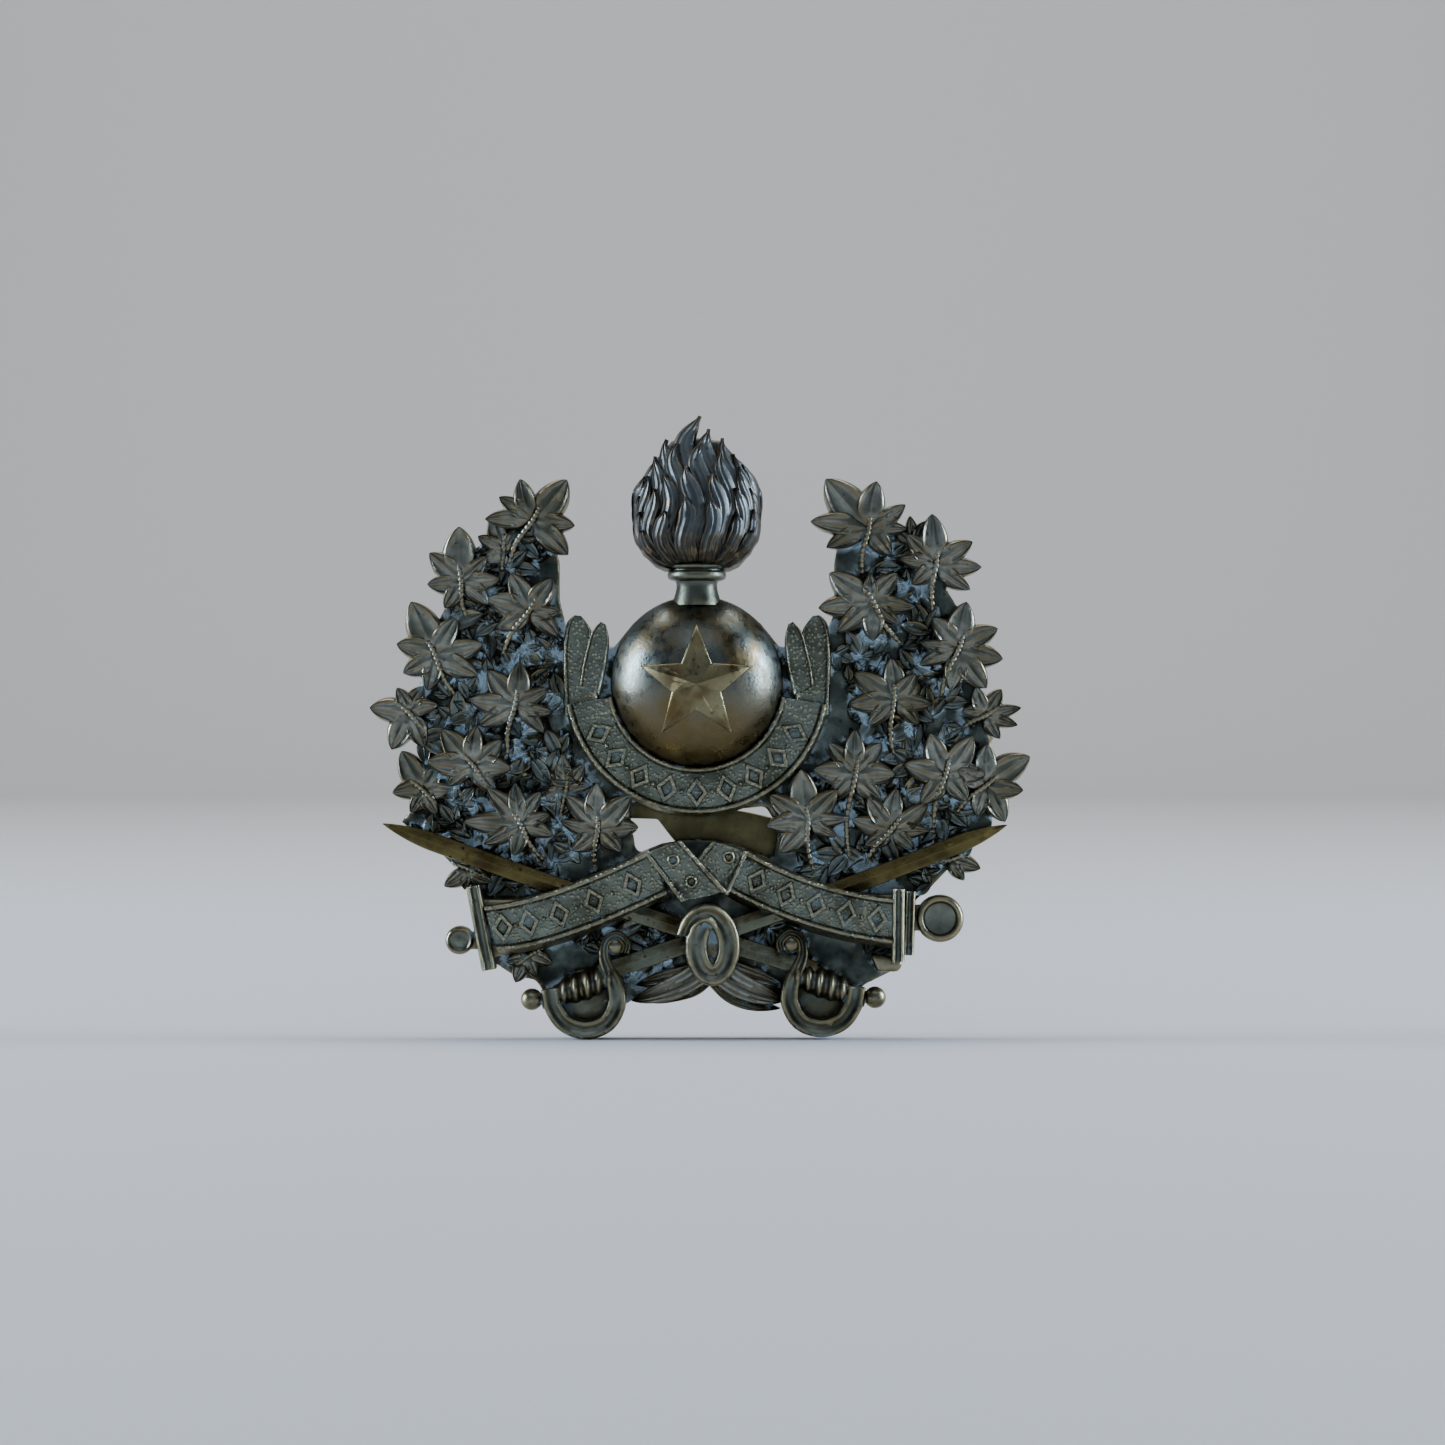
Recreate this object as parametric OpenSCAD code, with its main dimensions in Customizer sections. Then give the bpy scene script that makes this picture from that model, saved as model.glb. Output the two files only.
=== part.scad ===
// Cap badge: a wreath of maple leaves round a flaming grenade, over crossed
// sabres, a gun barrel and a folded ribbon. It is worn upright, so +Z is up,
// the face looks along -Y and the cap lies against the plane y = 0.
// The origin is on that plane, midway between the two lugs.

/* [Wreath plate] */
// Thickness of the struck back plate
plate_t = 1.0; // [0.8:0.1:1.2]
// Height of a full leaf above the plate
leaf_t = 1.0; // [0.8:0.1:1.0]
// Height of a leaf that lies low, behind its neighbours
low_leaf_t = 0.45; // [0.3:0.05:0.6]

/* [Grenade] */
// Radius of the ball at its rim
ball_r = 6.5; // [6.3:0.1:6.6]
// Radius of the sphere that the ball's face is part of
dome_r = 7.2; // [7.0:0.1:8.0]
// Height of the straight skirt under the dome
skirt_t = 0.9; // [0.6:0.1:1.2]
// Wall thickness of the hollow ball
shell_t = 0.7; // [0.5:0.1:0.8]
// Height of the ball's centre above the lugs
ball_z = 3.4; // [3.2:0.1:3.6]
// Radius of the neck
neck_r = 1.7; // [1.5:0.1:1.8]
// Radius of the neck's top flange
flange_r = 2.15; // [2.0:0.05:2.3]
// Height of the star above the dome
star_t = 0.45; // [0.3:0.05:0.6]

/* [Scroll and ribbon] */
// Outer radius of the curved scroll
scroll_r = 10.0; // [9.8:0.1:10.2]
// Height of the scroll above the plate
scroll_t = 1.4; // [1.2:0.1:1.6]
// Height of the raised pattern on the scroll and the ribbon
motif_t = 0.35; // [0.2:0.05:0.4]
// Thickness of the folded ribbon
ribbon_t = 0.8; // [0.6:0.1:0.9]

/* [Sabres and gun] */
// Height of the gun barrel above the plate
gun_t = 1.0; // [0.8:0.1:1.0]
// Thickness of a sabre's blade
blade_t = 0.7; // [0.5:0.1:0.8]
// Width of a sabre's blade
blade_w = 1.3; // [1.1:0.1:1.4]
// Outer radius of a sabre's knuckle bow
bow_r = 2.85; // [2.7:0.05:2.9]

/* [Fixings] */
// Distance between the two lugs
lug_span = 34; // [32:1:36]
// Radius of a lug's round shank
shank_r = 1.1; // [0.9:0.1:1.2]
// Length of a lug's shank
shank_len = 3.2; // [3:0.1:4]
// Radius of the wire of a lug's eye
eye_wire_r = 0.55; // [0.45:0.05:0.6]
// Mean radius of a lug's eye
eye_r = 1.5; // [1.5:0.05:1.6]
// Radius of the closed split pin
pin_r = 0.8; // [0.7:0.05:0.85]
// Length of the split pin's legs
pin_len = 38; // [37:1:39]

/* [Hidden] */
$fn = 64;
slack = 0.01;

// Levels in front of the cap, as distances towards the viewer.
gun_top = plate_t + gun_t;
blade_base = gun_top;
blade_top = blade_base + blade_t;
ribbon_base = blade_top;
ribbon_top = ribbon_base + ribbon_t;
scroll_top = plate_t + scroll_t;
dome_centre = plate_t + skirt_t - sqrt(dome_r * dome_r - ball_r * ball_r);
pin_y = shank_len + eye_r;

// Leaves: [x, z, lies low, lobes], each lobe as [direction, length].
left_leaf_places = [
    [-12.4, 15.6, false, [[-44, 3.6], [-7, 3.1], [50, 3.9], [107, 3.2], [145, 3.0], [178, 3.5]]],
    [-17.8, 11.0, false, [[-175, 2.5], [-122, 2.3], [-40, 2.6], [3, 2.8], [44, 2.6], [92, 4.0], [138, 3.1]]],
    [-12.7, 8.7, false, [[-152, 2.6], [-39, 2.8], [0, 2.3], [55, 3.0], [115, 3.1], [163, 3.2]]],
    [-19.8, 5.5, false, [[-149, 2.7], [-101, 2.7], [-26, 3.5], [12, 3.6], [60, 3.1], [114, 4.2], [165, 2.9]]],
    [-13.7, 1.7, false, [[-150, 3.1], [-44, 2.9], [-12, 2.8], [26, 2.6], [84, 3.1], [129, 3.2], [174, 3.4]]],
    [-16.9, -2.9, false, [[-141, 2.4], [-50, 2.5], [-5, 2.8], [42, 2.8], [85, 2.9], [131, 3.5], [176, 3.4]]],
    [-13.3, -7.4, false, [[-153, 3.0], [-103, 2.3], [-18, 2.5], [20, 2.3], [60, 2.8], [98, 3.1], [132, 3.6],
        [177, 4.2]]],
    [-7.5, -7.8, false, [[-141, 2.4], [-42, 2.3], [4, 3.0], [46, 3.5], [91, 3.4], [132, 3.4], [166, 2.8]]],
    [-21.8, 1.1, true, [[-115, 3.0], [-66, 2.8], [15, 2.2], [62, 2.2], [115, 2.0], [173, 2.9]]],
    [-20.7, -4.8, true, [[-176, 2.3], [-119, 1.9], [-60, 2.0], [0, 2.3], [60, 2.4], [119, 3.3]]],
    [-9.9, -4.8, true, [[-170, 2.2], [-60, 2.0], [12, 1.8], [55, 2.3], [96, 2.7], [138, 2.3]]],
    [-17.3, -10.7, true, [[-143, 2.2], [-100, 1.6], [-30, 2.0], [60, 2.0], [140, 1.8]]],
    [-14.6, 13.3, true, [[-160, 2.0], [60, 2.0], [109, 2.8], [150, 2.2]]],
    [-12.7, -17.3, true, [[-117, 2.2], [-70, 1.7], [-20, 1.8], [-165, 1.8]]]
];
right_leaf_places = [
    [13.0, 15.0, false, [[-156, 3.4], [-50, 2.5], [0, 2.8], [33, 3.2], [81, 3.5], [131, 4.8], [173, 4.3]]],
    [18.1, 12.3, false, [[-140, 2.3], [-37, 3.1], [-4, 3.3], [32, 3.1], [95, 3.7], [135, 3.0], [172, 2.7]]],
    [13.3, 9.5, false, [[-173, 4.0], [-139, 3.4], [-90, 2.9], [-40, 2.6], [-8, 3.1], [50, 2.7], [95, 2.0],
        [147, 3.8]]],
    [19.8, 5.9, false, [[-158, 3.1], [-101, 3.1], [-55, 3.5], [-13, 3.3], [28, 3.2], [81, 3.5], [130, 3.0],
        [172, 2.8]]],
    [14.9, 2.1, false, [[-173, 3.3], [-135, 2.7], [-45, 2.6], [-8, 2.8], [49, 2.5], [94, 3.0], [147, 3.5]]],
    [12.0, -3.6, false, [[-135, 2.6], [-45, 2.6], [0, 2.9], [50, 3.0], [91, 3.3], [130, 3.0], [173, 3.1]]],
    [18.8, -3.6, false, [[-130, 2.8], [-50, 2.5], [0, 2.9], [55, 3.4], [111, 3.2], [166, 3.1]]],
    [21.9, -4.4, false, [[-108, 2.4], [-63, 3.0], [-8, 2.7], [34, 3.8], [90, 3.0], [150, 2.4]]],
    [8.4, -7.1, false, [[-173, 3.0], [-132, 3.1], [-28, 2.4], [3, 2.9], [47, 3.1], [98, 3.8], [146, 3.4]]],
    [14.7, -7.8, false, [[-150, 2.2], [-40, 2.2], [0, 2.7], [36, 3.3], [83, 3.1], [125, 3.0], [165, 3.0]]],
    [21.9, 0.9, true, [[-60, 2.0], [-18, 2.4], [12, 2.6], [60, 2.2], [110, 2.2], [170, 1.8]]],
    [19.3, -10.0, true, [[-60, 1.8], [-18, 2.2], [40, 2.0], [130, 2.0], [180, 1.6]]],
    [16.3, 13.8, true, [[-150, 1.8], [20, 1.8], [60, 2.0], [95, 2.1], [140, 1.8]]]
];

// Sabres, each from its blade's tip to the centre of its grip.
left_tip = [22.9, -7.5];
left_grip = [-8.7, -19.1];
right_tip = [-23.4, -7.5];
right_grip = [10.5, -18.9];

plate_outline = [
    [-10.4, 12.6], [-11.6, 15.6], [-13.0, 16.4], [-14.7, 15.3], [-17.0, 13.6], [-18.8, 11.5],
    [-19.4, 8.8], [-20.6, 6.5], [-21.0, 3.5], [-22.0, 1.1], [-21.4, -1.4], [-20.7, -3.3],
    [-21.6, -5.8], [-22.6, -7.2], [-20.0, -9.2], [-18.0, -11.2], [-17.1, -12.2],
    [-16.5, -15.1], [-15.7, -18.0], [-13.8, -19.2], [-11.9, -19.3], [-10.8, -21.6],
    [-8.1, -23.0], [-5.9, -21.6], [-4.3, -20.6], [0, -19.2], [3.6, -20.8], [7.1, -21.0],
    [10.3, -22.5], [12.4, -21.0], [13.2, -19.5], [15.3, -18.4], [15.8, -16.3], [16.6, -13.2],
    [18.0, -12.1], [19.6, -10.4], [20.2, -9.4], [22.6, -7.6], [22.6, -5.6], [22.4, -3.0],
    [22.4, -0.3], [22.2, 1.6], [21.2, 3.5], [21.0, 5.8], [20.4, 8.4], [19.2, 10.3],
    [19.0, 12.6], [17.2, 14.0], [15.2, 15.2], [13.4, 15.8], [11.8, 15.6], [10.6, 14.0],
    [10.3, 12.4], [10.3, 8.8], [9.7, 7.4], [-9.7, 7.4], [-10.4, 9.6]
];
opening_outline = [
    [-5.2, -5.6], [-4.6, -9.6], [-2.6, -8.8], [0, -8.4], [3.0, -8.9], [5.8, -10.0],
    [6.2, -7.6], [5.4, -5.6], [0, -6.4]
];

function polar(r, a) = [r * cos(a), r * sin(a)];
function arc(r, from, to, n) = [for (i = [0:n]) polar(r, from + (to - from) * i / n)];
function mirrored(points) = [for (i = [len(points) - 1:-1:0]) [-points[i][0], points[i][1]]];

// A flat outline in x and z, as a layer between two distances from the cap.
module layer(from, to) rotate([90, 0, 0]) translate([0, 0, from]) linear_extrude(to - from) children();

// One leaf's outline: each lobe has two shoulders and a tip, with a notch before the next lobe.
lobe_belly = 0.6;
lobe_half_angle = 17;
notch = 0.46;
wide_notch = 0.3;
function gap_after(lobes, i) = (i == len(lobes) - 1 ? lobes[0][0] + 360 : lobes[i + 1][0]) - lobes[i][0];
function gap_before(lobes, i) = gap_after(lobes, i == 0 ? len(lobes) - 1 : i - 1);
function shoulder(lobes, i, side) =
    let (half = min(lobe_half_angle, 0.4 * (side < 0 ? gap_before(lobes, i) : gap_after(lobes, i))))
    polar(lobes[i][1] * lobe_belly, lobes[i][0] + side * half);
function notch_after(lobes, i) =
    let (gap = gap_after(lobes, i), next = lobes[(i + 1) % len(lobes)])
    polar(min(lobes[i][1], next[1]) * (gap > 70 ? wide_notch : notch), lobes[i][0] + gap / 2);
function in_order(lobes) = lobes[0][0] > lobes[len(lobes) - 1][0]
    ? concat([lobes[len(lobes) - 1]], [for (i = [0:len(lobes) - 2]) lobes[i]]) : lobes;
function leaf_points(lobes) = [
    for (i = [0:len(lobes) - 1])
        each [
            shoulder(lobes, i, -1), polar(lobes[i][1], lobes[i][0]), shoulder(lobes, i, 1),
            notch_after(lobes, i)
        ]
];
module leaf_outline(place)
    translate([place[0], place[1]]) polygon(leaf_points(in_order(place[3])));

module leaf(place) layer(plate_t, plate_t + (place[2] ? low_leaf_t : leaf_t)) leaf_outline(place);

// What stands on the plate beside the leaves and keeps them clear.
module leaf_clearance() {
    layer(0, scroll_top) translate([0, ball_z]) circle(scroll_r + 0.1);
    layer(0, gun_top) polygon([[-17.3, -11.9], [16.8, -12.1], [16.8, -20], [-17.3, -20]]);
}

module leaves(places) difference() {
    union() for (place = places) leaf(place);
    leaf_clearance();
}

// The plate follows the leaves' outlines beyond its own, and closes the ball from behind.
module wreath_plate() color("darkolivegreen") difference() {
    layer(0, plate_t) {
        polygon(plate_outline);
        translate([0, ball_z]) circle(ball_r);
        for (place = concat(left_leaf_places, right_leaf_places)) leaf_outline(place);
    }
    layer(-1, plate_t + 1) polygon(opening_outline);
    for (side = [-1, 1]) translate([side * wire_x, 1, ball_z])
        rotate([90, 0, 0]) cylinder(r = wire_r + wire_slack, h = plate_t + 2);
}

module left_leaves() color("olivedrab") leaves(left_leaf_places);
module right_leaves() color("olivedrab") leaves(right_leaf_places);

// The hollow ball: a straight skirt under part of a sphere.
module ball_body(inset) {
    intersection() {
        translate([0, -dome_centre, ball_z]) sphere(r = dome_r - inset);
        translate([0, -plate_t, ball_z]) rotate([90, 0, 0]) cylinder(r = ball_r - inset, h = 2 * dome_r);
    }
}

module grenade_ball() color("peru") difference() {
    ball_body(0);
    ball_body(shell_t);
    translate([0, 1 - plate_t, ball_z]) rotate([90, 0, 0]) cylinder(r = ball_r - shell_t, h = 1.5);
}

// A plain five-pointed star, raised on the dome.
module grenade_star() color("goldenrod") difference() {
    intersection() {
        layer(dome_centre, dome_centre + 2 * dome_r) translate([0, ball_z - 0.2])
            polygon([for (i = [0:9]) polar(i % 2 == 0 ? 4.4 : 1.8, 90 + 36 * i)]);
        translate([0, -dome_centre, ball_z]) sphere(r = dome_r + star_t);
    }
    translate([0, -dome_centre, ball_z]) sphere(r = dome_r);
}

neck_base = ball_z + 6.0;
flange_base = ball_z + 7.95;
flange_top = ball_z + 8.75;
neck_depth = 1.5;
module neck_front()
    translate([0, -0.6, neck_base]) mirror([0, 1, 0]) translate([-5, 0, -1]) cube([10, 6, 12]);

module grenade_neck() color("darkgoldenrod") difference() {
    intersection() {
        translate([0, -neck_depth, 0]) {
            translate([0, 0, neck_base]) cylinder(r = neck_r, h = flange_base - neck_base + 0.4);
            translate([0, 0, flange_base]) cylinder(r = flange_r, h = flange_top - flange_base);
        }
        neck_front();
    }
    translate([0, -dome_centre, ball_z]) sphere(r = dome_r + slack);
    translate([0, 0, ball_z]) rotate([90, 0, 0]) cylinder(r = ball_r + slack, h = 12);
}

flame_outline = [
    [-2.2, flange_top], [-3.6, 12.6], [-4.5, 13.9], [-4.8, 15.8], [-4.8, 17.2], [-4.4, 19.3],
    [-3.6, 19.2], [-3.2, 20.6], [-2.3, 21.9], [-1.6, 21.6], [-0.4, 23.6], [0.5, 22.2],
    [0.9, 21.6], [2.1, 22.2], [2.6, 20.9], [3.6, 20.8], [4.0, 19.6], [4.8, 19.0], [5.0, 17.0],
    [4.9, 15.4], [4.5, 13.6], [3.4, 12.5], [2.2, flange_top]
];
flame_middle = [0, 16.6];
flame_back = 0.6;
module flame_step(from, to, share)
    layer(from, to) translate(flame_middle) scale(share) translate(-flame_middle) polygon(flame_outline);

module grenade_flame() color("sienna") {
    flame_step(flame_back, 2.2, 1);
    flame_step(2.2, 3.4, 0.84);
    flame_step(3.4, 4.3, 0.6);
}

// Two wires, brazed inside the ball, that pass through the plate and are bent over behind it.
wire_r = 0.5;
wire_x = 3.5;
wire_end = 6.6;
wire_slack = 0.06;
module grenade_wires() color("chocolate") for (side = [-1, 1]) {
    intersection() {
        translate([side * wire_x, wire_r, ball_z]) rotate([90, 0, 0]) cylinder(r = wire_r, h = dome_r);
        translate([0, -dome_centre, ball_z]) sphere(r = dome_r - shell_t);
    }
    translate([side * wire_x, wire_r, ball_z])
        rotate([0, side * 90, 0]) cylinder(r = wire_r, h = wire_end - wire_x);
    translate([side * wire_x, wire_r, ball_z]) sphere(r = wire_r);
}

// A raised diamond with a hollow middle, the pattern on the scroll and the ribbon.
motif_root = 0.1;
module motif(from, size) {
    layer(from - motif_root, from + motif_t) difference() {
        polygon([for (i = [0:3]) polar(i % 2 == 0 ? size * 0.72 : size, 90 * i)]);
        polygon([for (i = [0:3]) polar(i % 2 == 0 ? size * 0.36 : size * 0.5, 90 * i)]);
    }
}
module motif_at(x, z, turn, from, size) translate([x, 0, z]) rotate([0, -turn, 0]) motif(from, size);

scroll_half_angle = 80;
scroll_motifs = 9;
scroll_motif_step = 15.6;
module scroll_band() color("darkkhaki") {
    layer(plate_t, scroll_top) translate([0, ball_z]) polygon(concat(
        arc(scroll_r, -90 - scroll_half_angle, -90 + scroll_half_angle, 48),
        arc(ball_r + 0.1, -90 + scroll_half_angle, -90 - scroll_half_angle, 48)
    ));
    for (i = [0:scroll_motifs - 1]) {
        a = -90 + scroll_motif_step * (i - (scroll_motifs - 1) / 2);
        p = polar((scroll_r + ball_r) / 2, a);
        motif_at(p[0], ball_z + p[1], a + 90, scroll_top, 1.05);
    }
}

// The scroll's end: it turns up beside the ball and ends in two points.
curl_outline = [
    [-9.9, 1.4], [-10.0, 4.6], [-9.8, 8.5], [-8.7, 8.3], [-8.0, 6.7], [-7.4, 7.6], [-6.9, 7.7],
    [-7.05, 6.0], [-7.2, 1.4]
];
module curl(outline) layer(plate_t, scroll_top - 0.2) difference() {
    polygon(outline);
    translate([0, ball_z]) circle(ball_r + 0.1);
}
module scroll_left_curl() color("khaki") difference() {
    curl(curl_outline);
    scroll_end_clearance();
}
module scroll_right_curl() color("khaki") difference() {
    curl(mirrored(curl_outline));
    scroll_end_clearance();
}
module scroll_end_clearance()
    layer(0, scroll_top + 1) translate([0, ball_z]) polygon(concat(
        [[0, 0]], arc(scroll_r + 1, -90 - scroll_half_angle, -90 + scroll_half_angle, 24)));

// The ribbon: two curved arms, with two flaps crossed over them in the middle.
left_arm_outline = [
    [-16.0, -13.4], [-13.6, -13.2], [-11.2, -12.6], [-9.2, -11.9], [-7.4, -11.1], [-3.6, -9.3],
    [-2.2, -12.6], [-4.3, -13.6], [-7.4, -15.0], [-9.5, -15.9], [-11.6, -16.5], [-15.1, -16.8]
];
right_arm_outline = [
    [3.7, -9.3], [5.6, -10.4], [7.8, -11.5], [9.8, -12.2], [11.6, -12.5], [14.8, -12.9],
    [14.7, -16.3], [10.9, -15.9], [9.0, -15.4], [7.0, -14.7], [2.5, -12.4]
];
// The row of motifs follows a parabola that levels out at the arm's outer end.
arm_bend = 0.0285;
motif_size = 1.0;
first_motif = 1.5;
last_motif = 10.0;
module arm_motifs(side, count, end_x, end_z) for (i = [0:count - 1]) {
    in = first_motif + (last_motif - first_motif) * i / (count - 1);
    turn = -side * atan(2 * arm_bend * in);
    motif_at(side * (end_x - in), end_z + arm_bend * in * in, turn, ribbon_top, motif_size);
}
module ribbon_left_arm() color("tan") {
    layer(ribbon_base, ribbon_top) polygon(left_arm_outline);
    arm_motifs(-1, 5, 15.5, -15.2);
}
module ribbon_right_arm() color("tan") {
    layer(ribbon_base, ribbon_top) polygon(right_arm_outline);
    arm_motifs(1, 5, 15.0, -14.7);
}

front_fold_outline = [[-3.7, -9.3], [-1.2, -8.5], [2.3, -12.4], [-1.2, -13.1]];
back_fold_outline = [[3.7, -9.3], [1.2, -8.6], [-1.6, -11.4], [0.0, -12.8], [2.4, -12.5]];
module annulet(x, z, from) layer(from - motif_root, from + 0.2) translate([x, z]) difference() {
    circle(0.42);
    circle(0.18);
}
fold_t = 0.5;
module ribbon_front_fold() color("burlywood") {
    layer(ribbon_top + fold_t, ribbon_top + 2 * fold_t) polygon(front_fold_outline);
    annulet(-1.7, -10.0, ribbon_top + 2 * fold_t);
    annulet(-0.4, -11.6, ribbon_top + 2 * fold_t);
}
module ribbon_back_fold() color("wheat") {
    layer(ribbon_top, ribbon_top + fold_t) polygon(back_fold_outline);
    annulet(2.6, -9.7, ribbon_top + fold_t);
}

// The gun lies behind the ribbon: its breech with a base ring shows at the left,
// its muzzle with two mouldings at the right.
module gun_breech() color("slategray") {
    layer(plate_t, gun_top) polygon([[-16.2, -13.6], [-8.0, -13.2], [-8.0, -15.0], [-15.4, -16.6]]);
    layer(plate_t, ribbon_top) polygon([[-17.1, -12.2], [-16.4, -12.2], [-15.1, -18.4], [-15.9, -18.4]]);
}

module gun_muzzle() color("slategray") {
    layer(plate_t, gun_top) polygon([[10.0, -12.8], [15.2, -13.2], [15.2, -16.0], [10.0, -15.2]]);
    layer(plate_t, ribbon_top) polygon([[15.05, -12.4], [15.6, -12.4], [15.5, -17.5], [14.95, -17.5]]);
    layer(plate_t, ribbon_top - 0.4) polygon([[15.58, -12.3], [16.5, -12.3], [16.2, -16.6], [15.5, -16.6]]);
}

module gun_cascabel() color("lightslategray") {
    translate([-17.9, 0, -16.2]) rotate([90, 0, 0]) cylinder(r = 1.0, h = 2.6);
    layer(plate_t, 1.8) polygon([[-17.6, -15.5], [-16.6, -15.3], [-16.3, -16.7], [-17.6, -16.9]]);
}

muzzle_at = [18.35, -14.45];
muzzle_r = 1.75;
muzzle_bore_r = 1.0;
module gun_muzzle_ring() color("lightslategray") {
    translate([muzzle_at[0], 0, muzzle_at[1]]) rotate([90, 0, 0]) difference() {
        cylinder(r = muzzle_r, h = 2.8);
        translate([0, 0, 1.6]) cylinder(r = muzzle_bore_r, h = 2);
    }
    layer(plate_t, 1.8) polygon([[16.6, -13.6], [17.4, -13.6], [17.4, -15.2], [16.6, -15.2]]);
}

// A blade from its tip to its grip, slightly curved, with a pointed end.
module blade_outline(tip, grip) {
    d = grip - tip;
    length = norm(d);
    translate(tip) rotate(atan2(d[1], d[0])) polygon(concat(
        [[0, 0]],
        [for (i = [1:6]) [length * 0.92 * i / 6, blade_w / 2 * min(1, i / 1.5)]],
        [for (i = [6:-1:1]) [length * 0.92 * i / 6, -blade_w / 2 * min(1, i / 1.5)]]
    ));
}
// Where the blades cross, each gives up half its thickness.
module left_sabre_blade() color("gold") difference() {
    layer(blade_base, blade_top) blade_outline(left_tip, left_grip);
    layer(blade_base - 1, blade_base + blade_t / 2) blade_outline(right_tip, right_grip);
    hilt_clearance(left_grip, -1);
}
module right_sabre_blade() color("gold") difference() {
    layer(blade_base, blade_top) blade_outline(right_tip, right_grip);
    layer(blade_base + blade_t / 2, blade_top + 1) blade_outline(left_tip, left_grip);
    hilt_clearance(right_grip, 1);
}

// A hilt: grip, knuckle bow, guard with a ball at its end, and pommel.
bow_drop = 1.3;
bow_hole_r = 1.35;
hilt_top = 3.0;
module hilt_clearance(grip, side)
    layer(0, 6) translate(grip) rotate(side * -20) square([5.0, 3.4], center = true);

module hilt(grip, side) {
    slope = side * -20;
    bow_at = [grip[0] - side * 0.2, grip[1] - bow_drop];
    difference() {
        layer(plate_t, hilt_top) translate(bow_at) circle(bow_r);
        layer(plate_t + 0.2, hilt_top + 1) translate(bow_at) circle(bow_hole_r);
        layer(0, hilt_top + 1) translate(grip) rotate(slope) translate([-4, 0.7]) square([8, 6]);
    }
    layer(plate_t, hilt_top + 0.2) translate(grip) rotate(slope) square([3.6, 1.6], center = true);
    guard_at = [grip[0] - side * 2.0, grip[1] + 2.9];
    layer(plate_t, blade_base) hull() {
        translate(guard_at) circle(0.5);
        translate([grip[0] - side * 2.1, grip[1] + 0.2]) circle(0.6);
    }
    translate([guard_at[0], -blade_base - 0.2, guard_at[1]]) sphere(r = 0.5);
    layer(plate_t, hilt_top - 0.3) translate(grip) rotate(slope)
        translate([side * 2.3, 0]) square([1.4, 1.1], center = true);
    pommel = grip + polar(3.2, slope) * side;
    translate([pommel[0], -2.0, pommel[1]]) sphere(r = 0.8);
}
module left_sabre_hilt() color("darkgoldenrod") hilt(left_grip, -1);
module right_sabre_hilt() color("darkgoldenrod") hilt(right_grip, 1);

// The ring that ties the stalks, and the two tails under it.
ring_at = [1.3, -16.7];
function ellipse(a, b, n) = [for (i = [0:n - 1]) [a * cos(360 * i / n), b * sin(360 * i / n)]];
module tie_ring() color("peru") layer(blade_top, blade_top + 1.3) translate(ring_at) difference() {
    polygon(ellipse(2.05, 2.85, 40));
    polygon(ellipse(0.55, 1.4, 24));
}
module left_sprig() color("olive") layer(plate_t, blade_base)
    polygon([[0.6, -18.5], [-0.6, -18.0], [-4.6, -19.7], [-5.0, -21.0], [-2.4, -20.7], [0.1, -19.6]]);
module right_sprig() color("olive") layer(plate_t, blade_base)
    polygon([[1.0, -18.6], [3.2, -18.4], [6.9, -19.6], [6.9, -21.3], [3.8, -21.0], [1.0, -19.8]]);

// A strap soldered across the back, seen through the opening.
module back_brace() color("saddlebrown") layer(-0.8, 0)
    polygon([[-7.0, -5.0], [0, -5.8], [8.0, -7.4], [8.0, -10.4], [-0.9, -9.6], [-3.0, -7.0], [-7.0, -6.9]]);

// A lug: a round shank with an eye that the pin passes through.
module lug(side) translate([side * lug_span / 2, 0, 0]) {
    rotate([-90, 0, 0]) cylinder(r = shank_r, h = shank_len);
    translate([0, pin_y, 0]) rotate([0, 90, 0]) rotate_extrude() translate([eye_r, 0]) circle(r = eye_wire_r);
}
module left_lug() color("chocolate") lug(-1);
module right_lug() color("chocolate") lug(1);

// Solder round each shank's foot, kept low so that the shank's wall stays clear.
solder_t = 0.1;
module lug_solder() color("silver") for (side = [-1, 1])
    translate([side * lug_span / 2, 0, 0]) rotate([-90, 0, 0]) difference() {
        cylinder(r1 = shank_r + 0.5, r2 = shank_r + 0.2, h = solder_t);
        translate([0, 0, -1]) cylinder(r = shank_r, h = 2);
    }

// The split pin: one strip folded on itself, with an eye at its right end.
leg_gap = 0.1;
pin_tip_x = -lug_span / 2 - 3;
pin_eye_r = 1.7;
strip_t = pin_r - leg_gap / 2;
pin_eye_x = pin_tip_x + pin_len + 3.0;
module pin_leg(up) intersection() {
    translate([pin_tip_x, pin_y, 0]) rotate([0, 90, 0]) cylinder(r = pin_r, h = pin_len + 1.5);
    translate([pin_tip_x - 1, pin_y - 2, up ? leg_gap / 2 : -leg_gap / 2 - 2]) cube([pin_len + 4, 4, 2]);
}
module split_pin() color("goldenrod") {
    pin_leg(true);
    pin_leg(false);
    translate([pin_eye_x, pin_y - 0.6, 0]) rotate([-90, 0, 0]) difference() {
        cylinder(r = pin_eye_r + strip_t / 2, h = 1.2);
        translate([0, 0, -1]) cylinder(r = pin_eye_r - strip_t / 2, h = 4);
    }
}

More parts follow.
